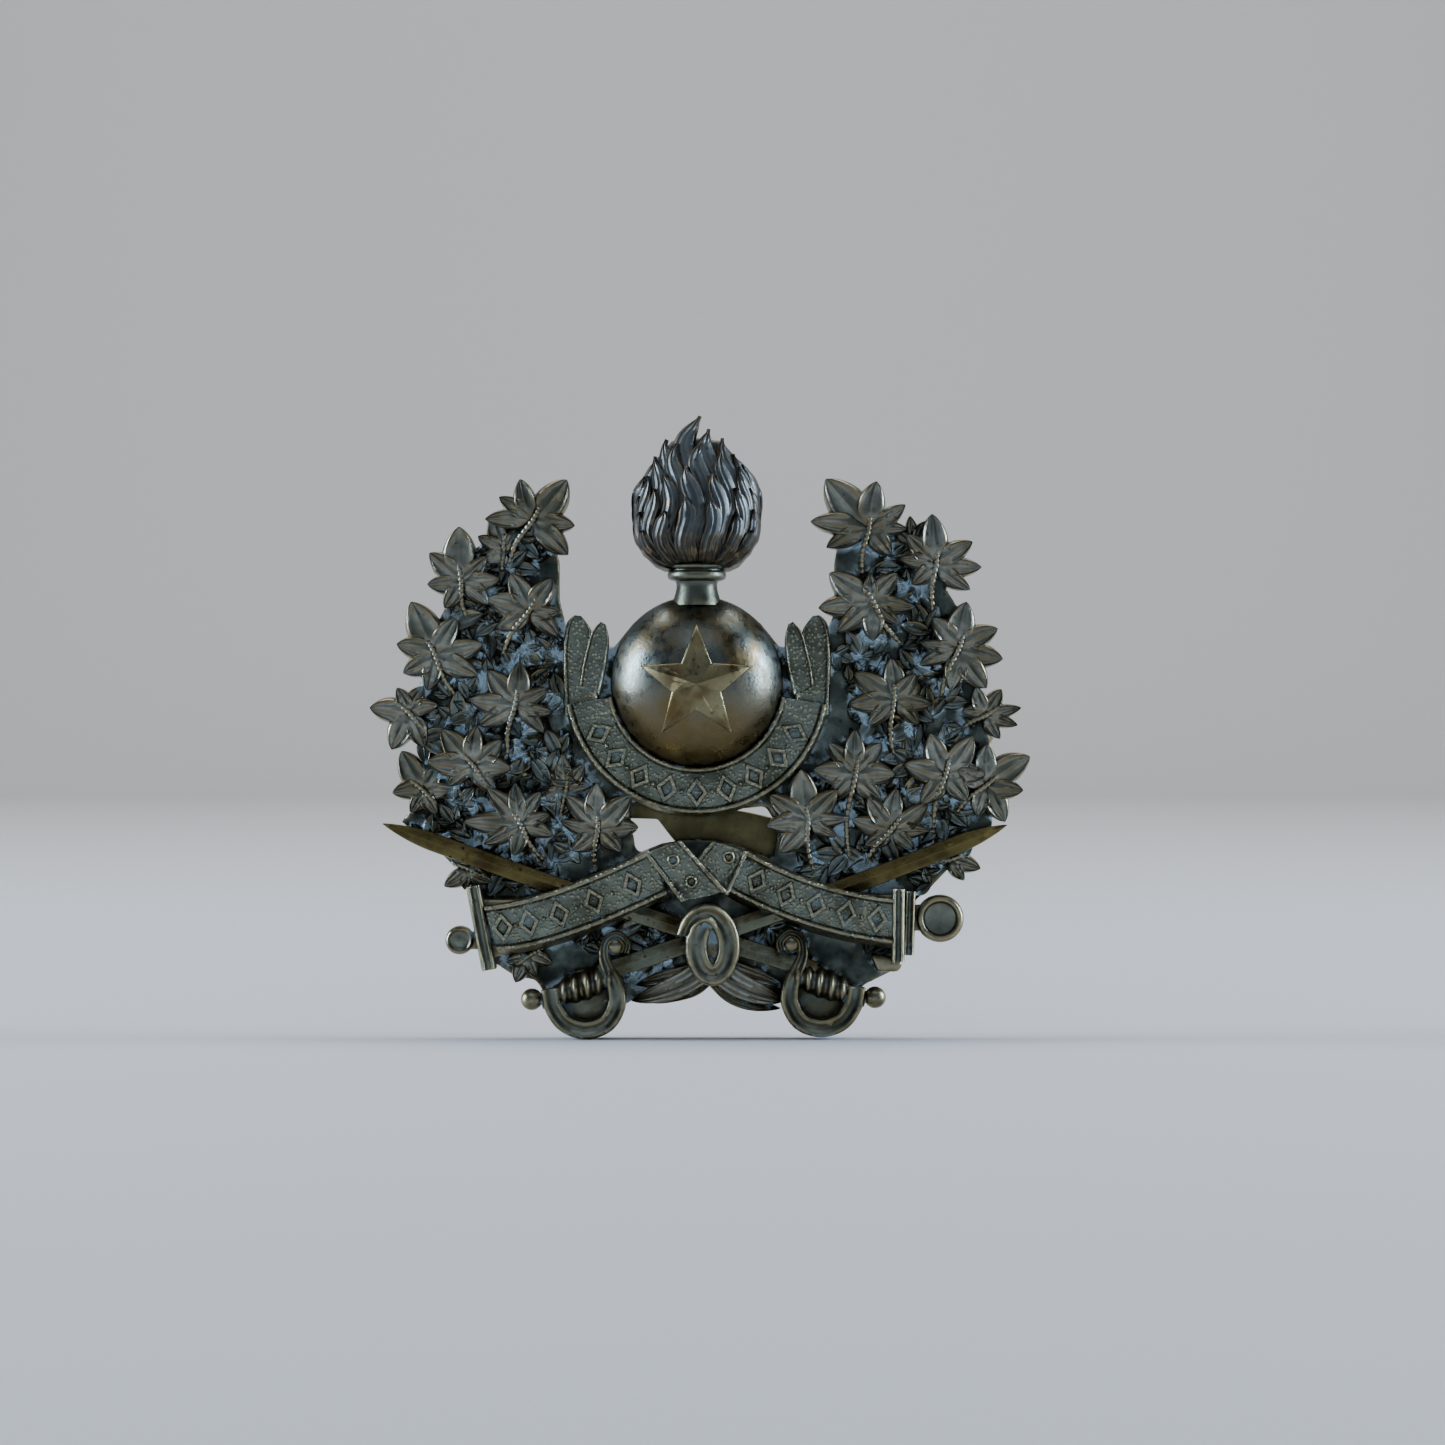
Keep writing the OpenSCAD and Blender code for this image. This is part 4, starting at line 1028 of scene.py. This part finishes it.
def lug(name, side, material):
    """A lug: a shank with a flared foot and head, and the eye that the pin passes through."""
    profile = [(1.0, -0.02), (1.22, -0.04), (1.14, -0.3), (1.06, -0.9), (1.02, -1.8), (1.06, -2.6),
               (0.98, -3.1), (0.75, -3.4), (0, -3.45)]
    shank = turned("shank", profile, 48, (side * LUG_X, 0, 0))
    deselect()
    bpy.ops.mesh.primitive_torus_add(location=(side * LUG_X, -PIN_BACK, 0), rotation=(0, math.pi / 2, 0),
                                     major_radius=1.5, minor_radius=0.53, major_segments=64,
                                     minor_segments=24)
    eye = bpy.context.object
    bpy.ops.object.transform_apply(location=True, rotation=True)
    return finish_piece(join("lug", [shank, eye]), "copper_wire", material, name)


def lug_solder(material):
    """Solder that has run out round each shank's foot."""
    parts = []
    for side in (-1, 1):
        puddle = turned("puddle", [(1.5, -0.01), (1.62, -0.03), (1.5, -0.07), (1.3, -0.1), (1.08, -0.14),
                                   (0, -0.14)], 40,
                        (side * LUG_X, 0, 0))
        for vertex in puddle.data.vertices:
            away = Vector((vertex.co.x - side * LUG_X, vertex.co.z))
            swell = 1 + 0.12 * grain(vertex.co.x, vertex.co.z, 1.1, 7.0) * clamp(away.length - 0.9)
            vertex.co.x = side * LUG_X + away.x * swell
            vertex.co.z = away.y * swell
        parts.append(puddle)
    return finish_piece(join("solder", parts), "solder", material, "lug_solder")


def split_pin(material):
    """The split pin: one half-round strip, out along one leg, round the eye and back along the other."""
    eye_x, eye_r, flat = 21.0, 1.7, 0.05
    tip_x, neck_x = -19.9, 18.9
    legs = 0.375
    steps = 40
    route = [(tip_x + (neck_x - tip_x) * i / 20, -flat) for i in range(21)]
    for i in range(steps + 1):
        turn = math.radians(196 + 328 * i / steps)
        route.append((eye_x + (eye_r - legs) * math.cos(turn), (eye_r - legs) * math.sin(turn)))
    route += [(neck_x - (neck_x - tip_x - 0.8) * i / 20, flat) for i in range(21)]
    half_round = [(0.0, -0.66), (0.0, -0.3), (0.0, 0.0), (0.0, 0.3), (0.0, 0.66)]
    half_round += [(-0.72 * math.sin(math.radians(a)), 0.72 * math.cos(math.radians(a)))
                   for a in range(25, 156, 13)]

    def spot(t, across, level):
        x, z = through(route, t)
        along = heading(route, t, 0.004)
        taper = 1 - 0.45 * clamp((0.03 - min(t, 1 - t)) / 0.03)
        return x - along.y * across * taper, z + along.x * across * taper, PIN_BACK + level * taper

    piece = strip("pin", 320, half_round, spot)
    return finish_piece(piece, "pin_brass", material, "split_pin", body=PIN)


# ---------------------------------------------------------------- finishes

def linear(hexcode):
    """An sRGB hex colour as the linear RGBA that the shaders work in."""
    channels = [int(hexcode[i:i + 2], 16) / 255 for i in (1, 3, 5)]
    return tuple(c / 12.92 if c <= 0.04045 else ((c + 0.055) / 1.055) ** 2.4 for c in channels) + (1.0,)


def add_node(tree, kind, settings, inputs, output=0):
    """Adds a node with its settings and links, and returns one of its outputs. An input that is a socket
    is linked, and any other is the value it is set to."""
    node = tree.nodes.new(kind)
    for setting, value in settings.items():
        setattr(node, setting, value)
    for socket, value in inputs.items():
        if isinstance(value, bpy.types.NodeSocket):
            tree.links.new(value, node.inputs[socket])
        else:
            node.inputs[socket].default_value = value
    return node.outputs[output] if node.outputs else node


def per_mm(size):
    """The scale of a pattern whose features are size millimetres wide."""
    return 1 / (size * MM)


# The first of these is the near-black of patina and painted shade in the hollows.
# The last of these is a painted glint on the stipple dots.
HOLLOW_PATINA_AND_SHADE, PIT, PAINTED_DOT_GLINT = "#15140e", "#17130c", "#d6cfa6"
SMOOTH = {"interpolation_type": "SMOOTHSTEP"}
COLOURS = {"data_type": "RGBA"}
PRODUCT = {"operation": "MULTIPLY"}


def struck_brass(name, metal, dark, bright, residue_and_reflection="#9db9c4", rough=0.4, residue_and_reflection_share=0.5, residue_and_reflection_low=0.5,
                 wear=0.6, stipple=0.0, pitting=0.5, sides=None, sides_and_underside_shade_share=0.75, lower=None,
                 fade=(0.0, 1.0)):
    """Die-struck brass that has toned with age: grey-green metal, brown on its steep sides with painted brown
    shade on the sides that face downwards, a thin dark patina in the hollows deepened into painted shade,
    pale polish over it that also stands for a painted reflection of the lamps, and yellow metal where
    handling has worn it. lower is the metal's tone below the first height of fade, in millimetres; it reaches
    its full tone at the second. On the ball that lower tone is a painted reflection of the floor."""
    material = bpy.data.materials.new(name)
    material.use_nodes = True
    tree = material.node_tree
    tree.nodes.clear()
    place = add_node(tree, "ShaderNodeTexCoord", {}, {}, "Object")
    height = add_node(tree, "ShaderNodeSeparateXYZ", {}, {"Vector": place}, "Z")
    # The metal's tone changes with height. On the ball, the lower tone is a painted reflection of the floor
    # below.
    raised = add_node(tree, "ShaderNodeMapRange", SMOOTH,
                      {"Value": height, "From Min": fade[0] * MM, "From Max": fade[1] * MM})
    body = add_node(tree, "ShaderNodeMix", COLOURS, {0: raised, 6: linear(lower or metal), 7: linear(metal)},
                    2)

    # Toning comes in clouds about 3 mm across, broken up by mottling of 0.7 mm.
    clouds = add_node(tree, "ShaderNodeTexNoise", {}, {"Vector": place, "Scale": per_mm(3.2), "Detail": 3.0})
    mottle = add_node(tree, "ShaderNodeTexNoise", {}, {"Vector": place, "Scale": per_mm(0.7), "Detail": 5.0})
    cloudy = add_node(tree, "ShaderNodeMapRange", SMOOTH, {"Value": clouds, "From Min": 0.3, "From Max": 0.6})
    toned = add_node(tree, "ShaderNodeMix", COLOURS, {0: cloudy, 6: linear(dark), 7: body}, 2)
    mottled = add_node(tree, "ShaderNodeMapRange", SMOOTH,
                       {"Value": mottle, "From Min": 0.5, "From Max": 0.72, "To Max": 0.45})
    colour = add_node(tree, "ShaderNodeMix", COLOURS, {0: mottled, 6: toned, 7: linear(dark)}, 2)

    # Sides that turn away from the front keep their brown toning, which polishing doesn't reach. Sides that
    # face downwards get the same brown as painted shade under the relief.
    normal = add_node(tree, "ShaderNodeTexCoord", {}, {}, "Normal")
    turned_away = add_node(tree, "ShaderNodeSeparateXYZ", {}, {"Vector": normal}, "Y")
    upwards = add_node(tree, "ShaderNodeSeparateXYZ", {}, {"Vector": normal}, "Z")
    brown_sides_and_underside_shade = add_node(tree, "ShaderNodeMapRange", SMOOTH,
                     {"Value": turned_away, "From Min": -0.85, "From Max": -0.45})
    painted_underside_shade = add_node(tree, "ShaderNodeMapRange", SMOOTH,
                          {"Value": upwards, "From Min": -0.05, "From Max": -0.35})
    brown_sides_and_underside_shade = add_node(tree, "ShaderNodeMath", {"operation": "MAXIMUM"}, {0: brown_sides_and_underside_shade, 1: painted_underside_shade})
    brown_sides_and_underside_shade = add_node(tree, "ShaderNodeMath", PRODUCT, {0: brown_sides_and_underside_shade, 1: sides_and_underside_shade_share if sides else 0.0})
    colour = add_node(tree, "ShaderNodeMix", COLOURS, {0: brown_sides_and_underside_shade, 6: colour, 7: linear(sides or metal)}, 2)

    # Handling wears the crests of the relief, which the mesh's own curvature finds.
    pointiness = add_node(tree, "ShaderNodeNewGeometry", {}, {}, "Pointiness")
    crest = add_node(tree, "ShaderNodeMapRange", SMOOTH,
                     {"Value": pointiness, "From Min": 0.505, "From Max": 0.57, "To Max": wear})
    rubbed = add_node(tree, "ShaderNodeMapRange", SMOOTH,
                      {"Value": mottle, "From Min": 0.25, "From Max": 0.6})
    worn = add_node(tree, "ShaderNodeMath", PRODUCT, {0: crest, 1: rubbed})
    colour = add_node(tree, "ShaderNodeMix", COLOURS, {0: worn, 6: colour, 7: linear(bright)}, 2)

    # Near-black lies in hollows narrower than about 0.9 mm: patina, deepened into painted shade by occlusion.
    # Pale residue lies over it in patches 1.5 mm across.
    open_sky = add_node(tree, "ShaderNodeAmbientOcclusion", {"samples": 8}, {"Distance": 0.9 * MM}, "AO")
    hollow = add_node(tree, "ShaderNodeMapRange", SMOOTH,
                      {"Value": open_sky, "From Min": 0.72, "From Max": 0.28, "To Max": 0.7})
    colour = add_node(tree, "ShaderNodeMix", COLOURS, {0: hollow, 6: colour, 7: linear(HOLLOW_PATINA_AND_SHADE)}, 2)
    # Pale residue in sheltered patches, which also stands for a painted reflection of the blue-white lamps
    # off the smooth ground.
    patches = add_node(tree, "ShaderNodeTexNoise", {},
                       {"Vector": place, "Scale": per_mm(1.5), "Detail": 4.0, "Roughness": 0.6})
    patchy = add_node(tree, "ShaderNodeMapRange", SMOOTH,
                      {"Value": patches, "From Min": residue_and_reflection_low, "From Max": residue_and_reflection_low + 0.09})
    sheltered = add_node(tree, "ShaderNodeMapRange", SMOOTH,
                         {"Value": open_sky, "From Min": 0.72, "From Max": 0.46, "To Max": residue_and_reflection_share})
    residue_and_painted_reflection = add_node(tree, "ShaderNodeMath", PRODUCT, {0: sheltered, 1: patchy})
    colour = add_node(tree, "ShaderNodeMix", COLOURS, {0: residue_and_painted_reflection, 6: colour, 7: linear(residue_and_reflection)}, 2)

    # Corrosion pits about 0.3 mm wide, where the clouds are thick.
    pits = add_node(tree, "ShaderNodeTexVoronoi", {}, {"Vector": place, "Scale": per_mm(0.8)}, "Distance")
    pitted = add_node(tree, "ShaderNodeMapRange", SMOOTH,
                      {"Value": pits, "From Min": 0.22, "From Max": 0.1, "To Max": pitting})
    crowded = add_node(tree, "ShaderNodeMapRange", SMOOTH,
                       {"Value": clouds, "From Min": 0.4, "From Max": 0.6})
    pitted = add_node(tree, "ShaderNodeMath", PRODUCT, {0: pitted, 1: crowded})
    colour = add_node(tree, "ShaderNodeMix", COLOURS, {0: pitted, 6: colour, 7: linear(PIT)}, 2)

    # Fine die texture of 0.22 mm, with stippling at 0.3 mm on the grounds of the scroll and ribbon, whose
    # dots carry painted glints.
    fine = add_node(tree, "ShaderNodeTexNoise", {}, {"Vector": place, "Scale": per_mm(0.22), "Detail": 3.0})
    relief = add_node(tree, "ShaderNodeBump", {}, {"Strength": 0.35, "Distance": 0.05 * MM, "Height": fine})
    if stipple:
        cells = add_node(tree, "ShaderNodeTexVoronoi", {},
                         {"Vector": place, "Scale": per_mm(0.3)}, "Distance")
        dots = add_node(tree, "ShaderNodeMapRange", SMOOTH,
                        {"Value": cells, "From Min": 0.55, "From Max": 0.1})
        relief = add_node(tree, "ShaderNodeBump", {},
                          {"Strength": stipple, "Distance": 0.1 * MM, "Height": dots, "Normal": relief})
        glints = add_node(tree, "ShaderNodeMapRange", SMOOTH,
                          {"Value": cells, "From Min": 0.42, "From Max": 0.12, "To Max": 0.34})
        colour = add_node(tree, "ShaderNodeMix", COLOURS, {0: glints, 6: colour, 7: linear(PAINTED_DOT_GLINT)}, 2)
    sheen = add_node(tree, "ShaderNodeMapRange", {},
                     {"Value": mottle, "From Min": 0.3, "From Max": 0.7,
                      "To Min": rough - 0.08, "To Max": rough + 0.12})
    roughness = add_node(tree, "ShaderNodeMix", {}, {0: residue_and_painted_reflection, 2: sheen, 3: 0.85})
    metallic = add_node(tree, "ShaderNodeMapRange", {}, {"Value": residue_and_painted_reflection, "To Min": 1.0, "To Max": 0.1})
    shader = add_node(tree, "ShaderNodeBsdfPrincipled", {},
                      {"Base Color": colour, "Roughness": roughness, "Metallic": metallic, "Normal": relief})
    add_node(tree, "ShaderNodeOutputMaterial", {}, {"Surface": shader})
    return material


# ---------------------------------------------------------------- the badge

# The brown of steep sides, which is also painted as shade on sides that face downwards.
BROWN_SIDES_AND_UNDERSIDE_SHADE = "#63502f"
# The badge's common finish: satin grey-green metal, brown down its sides with painted shade under them,
# yellow where it is rubbed.
aged_brass = struck_brass("aged_struck_brass", "#767c70", "#454b42", "#aea077", residue_and_reflection_share=0.6, rough=0.34,
                          sides=BROWN_SIDES_AND_UNDERSIDE_SHADE, sides_and_underside_shade_share=0.5)
# The neck is a darker, duller copy of the common finish: painted shade, which tones down the strong light
# that it catches.
neck_shaded_brass = struck_brass("fuse_neck_brass", "#585b50", "#3b3f37", "#84846a", rough=0.4, residue_and_reflection_share=0.2)
# The tie ring is the common finish with pale polish caught in its slit and grooves.
tie_brass = struck_brass("tie_ring_brass", "#74796c", "#484e46", "#b0a47c", residue_and_reflection="#b4cad2",
                         residue_and_reflection_share=0.9, residue_and_reflection_low=0.46, rough=0.38, sides=BROWN_SIDES_AND_UNDERSIDE_SHADE, sides_and_underside_shade_share=0.5)
# The struck ground is dark patina, with bright pale polish in patches between the leaves that is also a
# painted reflection of the blue-white lamps.
ground_toning = struck_brass("plate_ground_brass", "#57605a", "#262b28", "#8f8a68", residue_and_reflection="#d6effc",
                             residue_and_reflection_share=1.0, residue_and_reflection_low=0.49, rough=0.36, sides="#5b5237",
                             sides_and_underside_shade_share=0.9)
# The small low leaves are cooler and darker than the large ones: painted shade, for lying low between them.
# The same polish lies about them.
low_leaf_shaded_brass = struck_brass("undergrowth_shaded_brass", "#6c7a7a", "#39423f", "#9c9068", residue_and_reflection="#d2ecfa",
                         residue_and_reflection_share=1.0, residue_and_reflection_low=0.5, rough=0.32, sides="#4d4129")
# The large leaves are warm grey, smoother from handling, with brown walls.
leaf_brass = struck_brass("leaf_brass", "#90948a", "#686b5e", "#a89c7a", residue_and_reflection_share=0.7, wear=0.5,
                          rough=0.34, sides=BROWN_SIDES_AND_UNDERSIDE_SHADE, sides_and_underside_shade_share=0.65)
# The flame is cool dark grey satin with brown sides to its strands, and darkest at its foot.
flame_brass = struck_brass("flame_brass", "#5a6365", "#41474a", "#83735c", residue_and_reflection="#6c8896",
                           residue_and_reflection_share=0.3, rough=0.46, wear=0.8, sides="#4c4334", sides_and_underside_shade_share=0.6,
                           lower="#2e332e", fade=(12.8, 15.2))
# The ball was polished and has toned again: a soft mirror, grey above, with golden brown below that is a
# painted reflection of the warm floor.
ball_brass_painted_reflection = struck_brass("polished_worn_brass", "#5d6460", "#62563a", "#857b58", rough=0.3,
                          residue_and_reflection_share=0.1, wear=0.3, pitting=0.12, lower="#6a5831", fade=(-3.5, 6.0))
# The star is rubbed back to yellow, and its facets mirror softly.
star_brass = struck_brass("gilt_worn_brass", "#7a7458", "#57492d", "#aea27a", rough=0.32, residue_and_reflection_share=0.15,
                          wear=0.8)
# The scroll and ribbon have a stippled ground, whose dots catch the light one by one.
stippled_brass = struck_brass("stippled_brass", "#7d8478", "#53584c", "#b3ab88", rough=0.36, stipple=0.6,
                              residue_and_reflection_share=0.6, wear=0.5, pitting=0.0, sides=BROWN_SIDES_AND_UNDERSIDE_SHADE, sides_and_underside_shade_share=0.5)
# The blades are smooth, olive brown and pitted, and greyer towards their hilts.
blade_brass = struck_brass("smooth_blade_brass", "#5e5634", "#37301d", "#8d7a48", rough=0.3,
                           residue_and_reflection_share=0.2, wear=0.4, pitting=0.9, lower="#646a5c", fade=(-16.0, -11.0))
# The strap behind was never polished, so it is dull and brown.
back_brass = struck_brass("untouched_back_brass", "#6d6a4c", "#4a4630", "#8c8256", rough=0.45,
                          residue_and_reflection_share=0.15, wear=0.3)
# Drawn copper wire has a soft orange-brown sheen.
copper_wire = struck_brass("copper_wire", "#8a5f40", "#4f3524", "#b98055", rough=0.4, residue_and_reflection_share=0.15,
                           wear=0.5)
# Tin solder is a dull pale grey.
solder = struck_brass("tin_solder", "#8b8d8c", "#5f605e", "#b4b4b0", rough=0.45, residue_and_reflection_share=0.2, wear=0.3)
# The drawn brass pin is the brightest and yellowest metal, from sliding in its eyes.
pin_brass = struck_brass("drawn_pin_brass", "#a08a4c", "#6e5f36", "#c9ad62", rough=0.3, residue_and_reflection_share=0.1,
                         wear=0.5)

wreath_plate(ground_toning)
for name, seed, count, region in (("left_undergrowth", 31, 120, ((-22, -12), (-9, 16))),
                                  ("right_undergrowth", 32, 120, ((8, -12), (22, 16))),
                                  ("low_undergrowth", 33, 22, ((-16, -21), (17, -14.5)))):
    finish_piece(undergrowth(name, seed, count, region), "aged_brass", low_leaf_shaded_brass)
finish_piece(spray("left_spray", LEFT_LEAVES, 11), "leaf_brass", leaf_brass, "left_leaves")
finish_piece(spray("right_spray", RIGHT_LEAVES, 21), "leaf_brass", leaf_brass, "right_leaves")
grenade_ball(ball_brass_painted_reflection)
grenade_star(star_brass)
grenade_neck(neck_shaded_brass)
grenade_flame(flame_brass)
grenade_wires(copper_wire)
scroll_band(stippled_brass)
scroll_curl("scroll_left_curl", -1, stippled_brass)
scroll_curl("scroll_right_curl", 1, stippled_brass)
ribbon_arm("ribbon_left_arm", ((-16.0, -13.5), (-11.0, -13.0), (-3.6, -9.3)),
           ((-15.0, -16.8), (-11.4, -16.95), (-2.2, -12.6)), 5, stippled_brass)
ribbon_arm("ribbon_right_arm", ((14.9, -12.9), (9.2, -12.4), (3.9, -9.4)),
           ((14.7, -16.3), (8.2, -15.55), (2.5, -12.4)), 5, stippled_brass)
fold("ribbon_front_fold", (((-3.9, -9.5), (-1.2, -13.1)), ((-1.2, -8.5), (2.3, -12.35))), 4.0, 3.0,
     ((-1.75, -10.0), (-0.4, -11.6)), stippled_brass)
fold("ribbon_back_fold", (((1.2, -8.6), (-1.6, -11.6)), ((3.9, -9.4), (2.4, -12.6))), 3.55, 2.6,
     ((2.4, -9.8),), stippled_brass)
gun_breech(aged_brass)
gun_cascabel(aged_brass)
gun_muzzle(aged_brass)
gun_muzzle_ring(aged_brass)
blade("left_sabre_blade", (23.4, -7.4), (-8.7, -19.1), 0.25, 2.72, blade_brass)
blade("right_sabre_blade", (-23.7, -7.3), (10.5, -18.9), -0.25, 2.62, blade_brass)
hilt("left_sabre_hilt", (-8.3, -20.5), -1, aged_brass)
hilt("right_sabre_hilt", (9.3, -20.35), 1, aged_brass)
tie_ring(tie_brass)
sprig("left_sprig", LEFT_SPRIG, leaf_brass)
sprig("right_sprig", RIGHT_SPRIG, leaf_brass)
back_brace(back_brass)
lug("left_lug", -1, copper_wire)
lug("right_lug", 1, copper_wire)
lug_solder(solder)
split_pin(pin_brass)


# ---------------------------------------------------------------- stage, lights, camera

def sweep():
    """A pale floor that curves up into a backdrop far behind."""
    reach, bend, height = 1.5, 0.5, 1.6
    floor_z = min(cad_box[0].z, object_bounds()[0].z)
    deselect()
    bpy.ops.mesh.primitive_plane_add(size=1, location=(0, 0, floor_z))
    floor = bpy.context.object
    floor.name = "floor"
    floor.scale = (4, 2 * reach, 1)
    bpy.ops.object.transform_apply(scale=True, location=True)
    bpy.ops.object.mode_set(mode="EDIT")
    bpy.ops.mesh.select_all(action="DESELECT")
    bpy.ops.object.mode_set(mode="OBJECT")
    for edge in floor.data.edges:
        edge.select = all(floor.data.vertices[i].co.y > reach - 0.01 for i in edge.vertices)
    bpy.ops.object.mode_set(mode="EDIT")
    bpy.ops.mesh.select_mode(type="EDGE")
    bpy.ops.mesh.extrude_region_move(TRANSFORM_OT_translate={"value": (0, 0, height)})
    bpy.ops.object.mode_set(mode="OBJECT")
    modify(floor, "BEVEL", width=bend, segments=24, limit_method="ANGLE")
    bpy.ops.object.shade_smooth()
    return floor


paper = bpy.data.materials.new("matt_pale_paper")
paper.use_nodes = True
paper_shader = paper.node_tree.nodes["Principled BSDF"]
paper_shader.inputs["Base Color"].default_value = linear("#b9b9b9")
paper_shader.inputs["Roughness"].default_value = 0.9
paper_shader.inputs["Specular IOR Level"].default_value = 0.2
floor = sweep()
floor.data.materials.append(paper)


def softbox(name, place, aim, size, energy, colour):
    """A soft rectangular light, aimed at a point, all in metres. The camera doesn't see it."""
    deselect()
    bpy.ops.object.light_add(type="AREA", location=place)
    light = bpy.context.object
    light.name = name
    light.rotation_euler = (Vector(aim) - Vector(place)).to_track_quat("-Z", "Y").to_euler()
    light.data.shape = "RECTANGLE"
    light.data.size, light.data.size_y = size
    light.data.energy = energy
    light.data.color = linear(colour)[:3]
    light.visible_camera = False
    return light


softbox("left_strip", (-0.6, 0.0, 0.06), (0, 0, 0), (0.16, 0.6), 13.5, "#d4e6ff")
softbox("right_strip", (0.6, 0.0, 0.06), (0, 0, 0), (0.16, 0.6), 13.0, "#d4e6ff")
softbox("top_front", (0, -0.5, 0.75), (0, 0, 0), (0.8, 0.4), 1.1, "#e8f0ff")
softbox("front_fill", (0, -0.9, 0.25), (0, 0, 0), (1.2, 0.8), 0.75, "#dceaff")
softbox("backdrop_wash", (0, 0.3, 1.2), (0, 1.3, 0.2), (1.5, 0.8), 22.0, "#ffffff")

world = bpy.data.worlds.new("studio")
bpy.context.scene.world = world
world.use_nodes = True
world.node_tree.nodes["Background"].inputs["Color"].default_value = linear("#8a9298")
world.node_tree.nodes["Background"].inputs["Strength"].default_value = 0.2

deselect()
bpy.ops.object.camera_add(location=(0.00194, -0.305, 0.00034), rotation=(math.pi / 2, 0, 0))
camera = bpy.context.object
# A long lens, straight on and level, 0.3 m away.
camera.data.lens = 100
camera.data.sensor_width = 36
bpy.context.scene.camera = camera
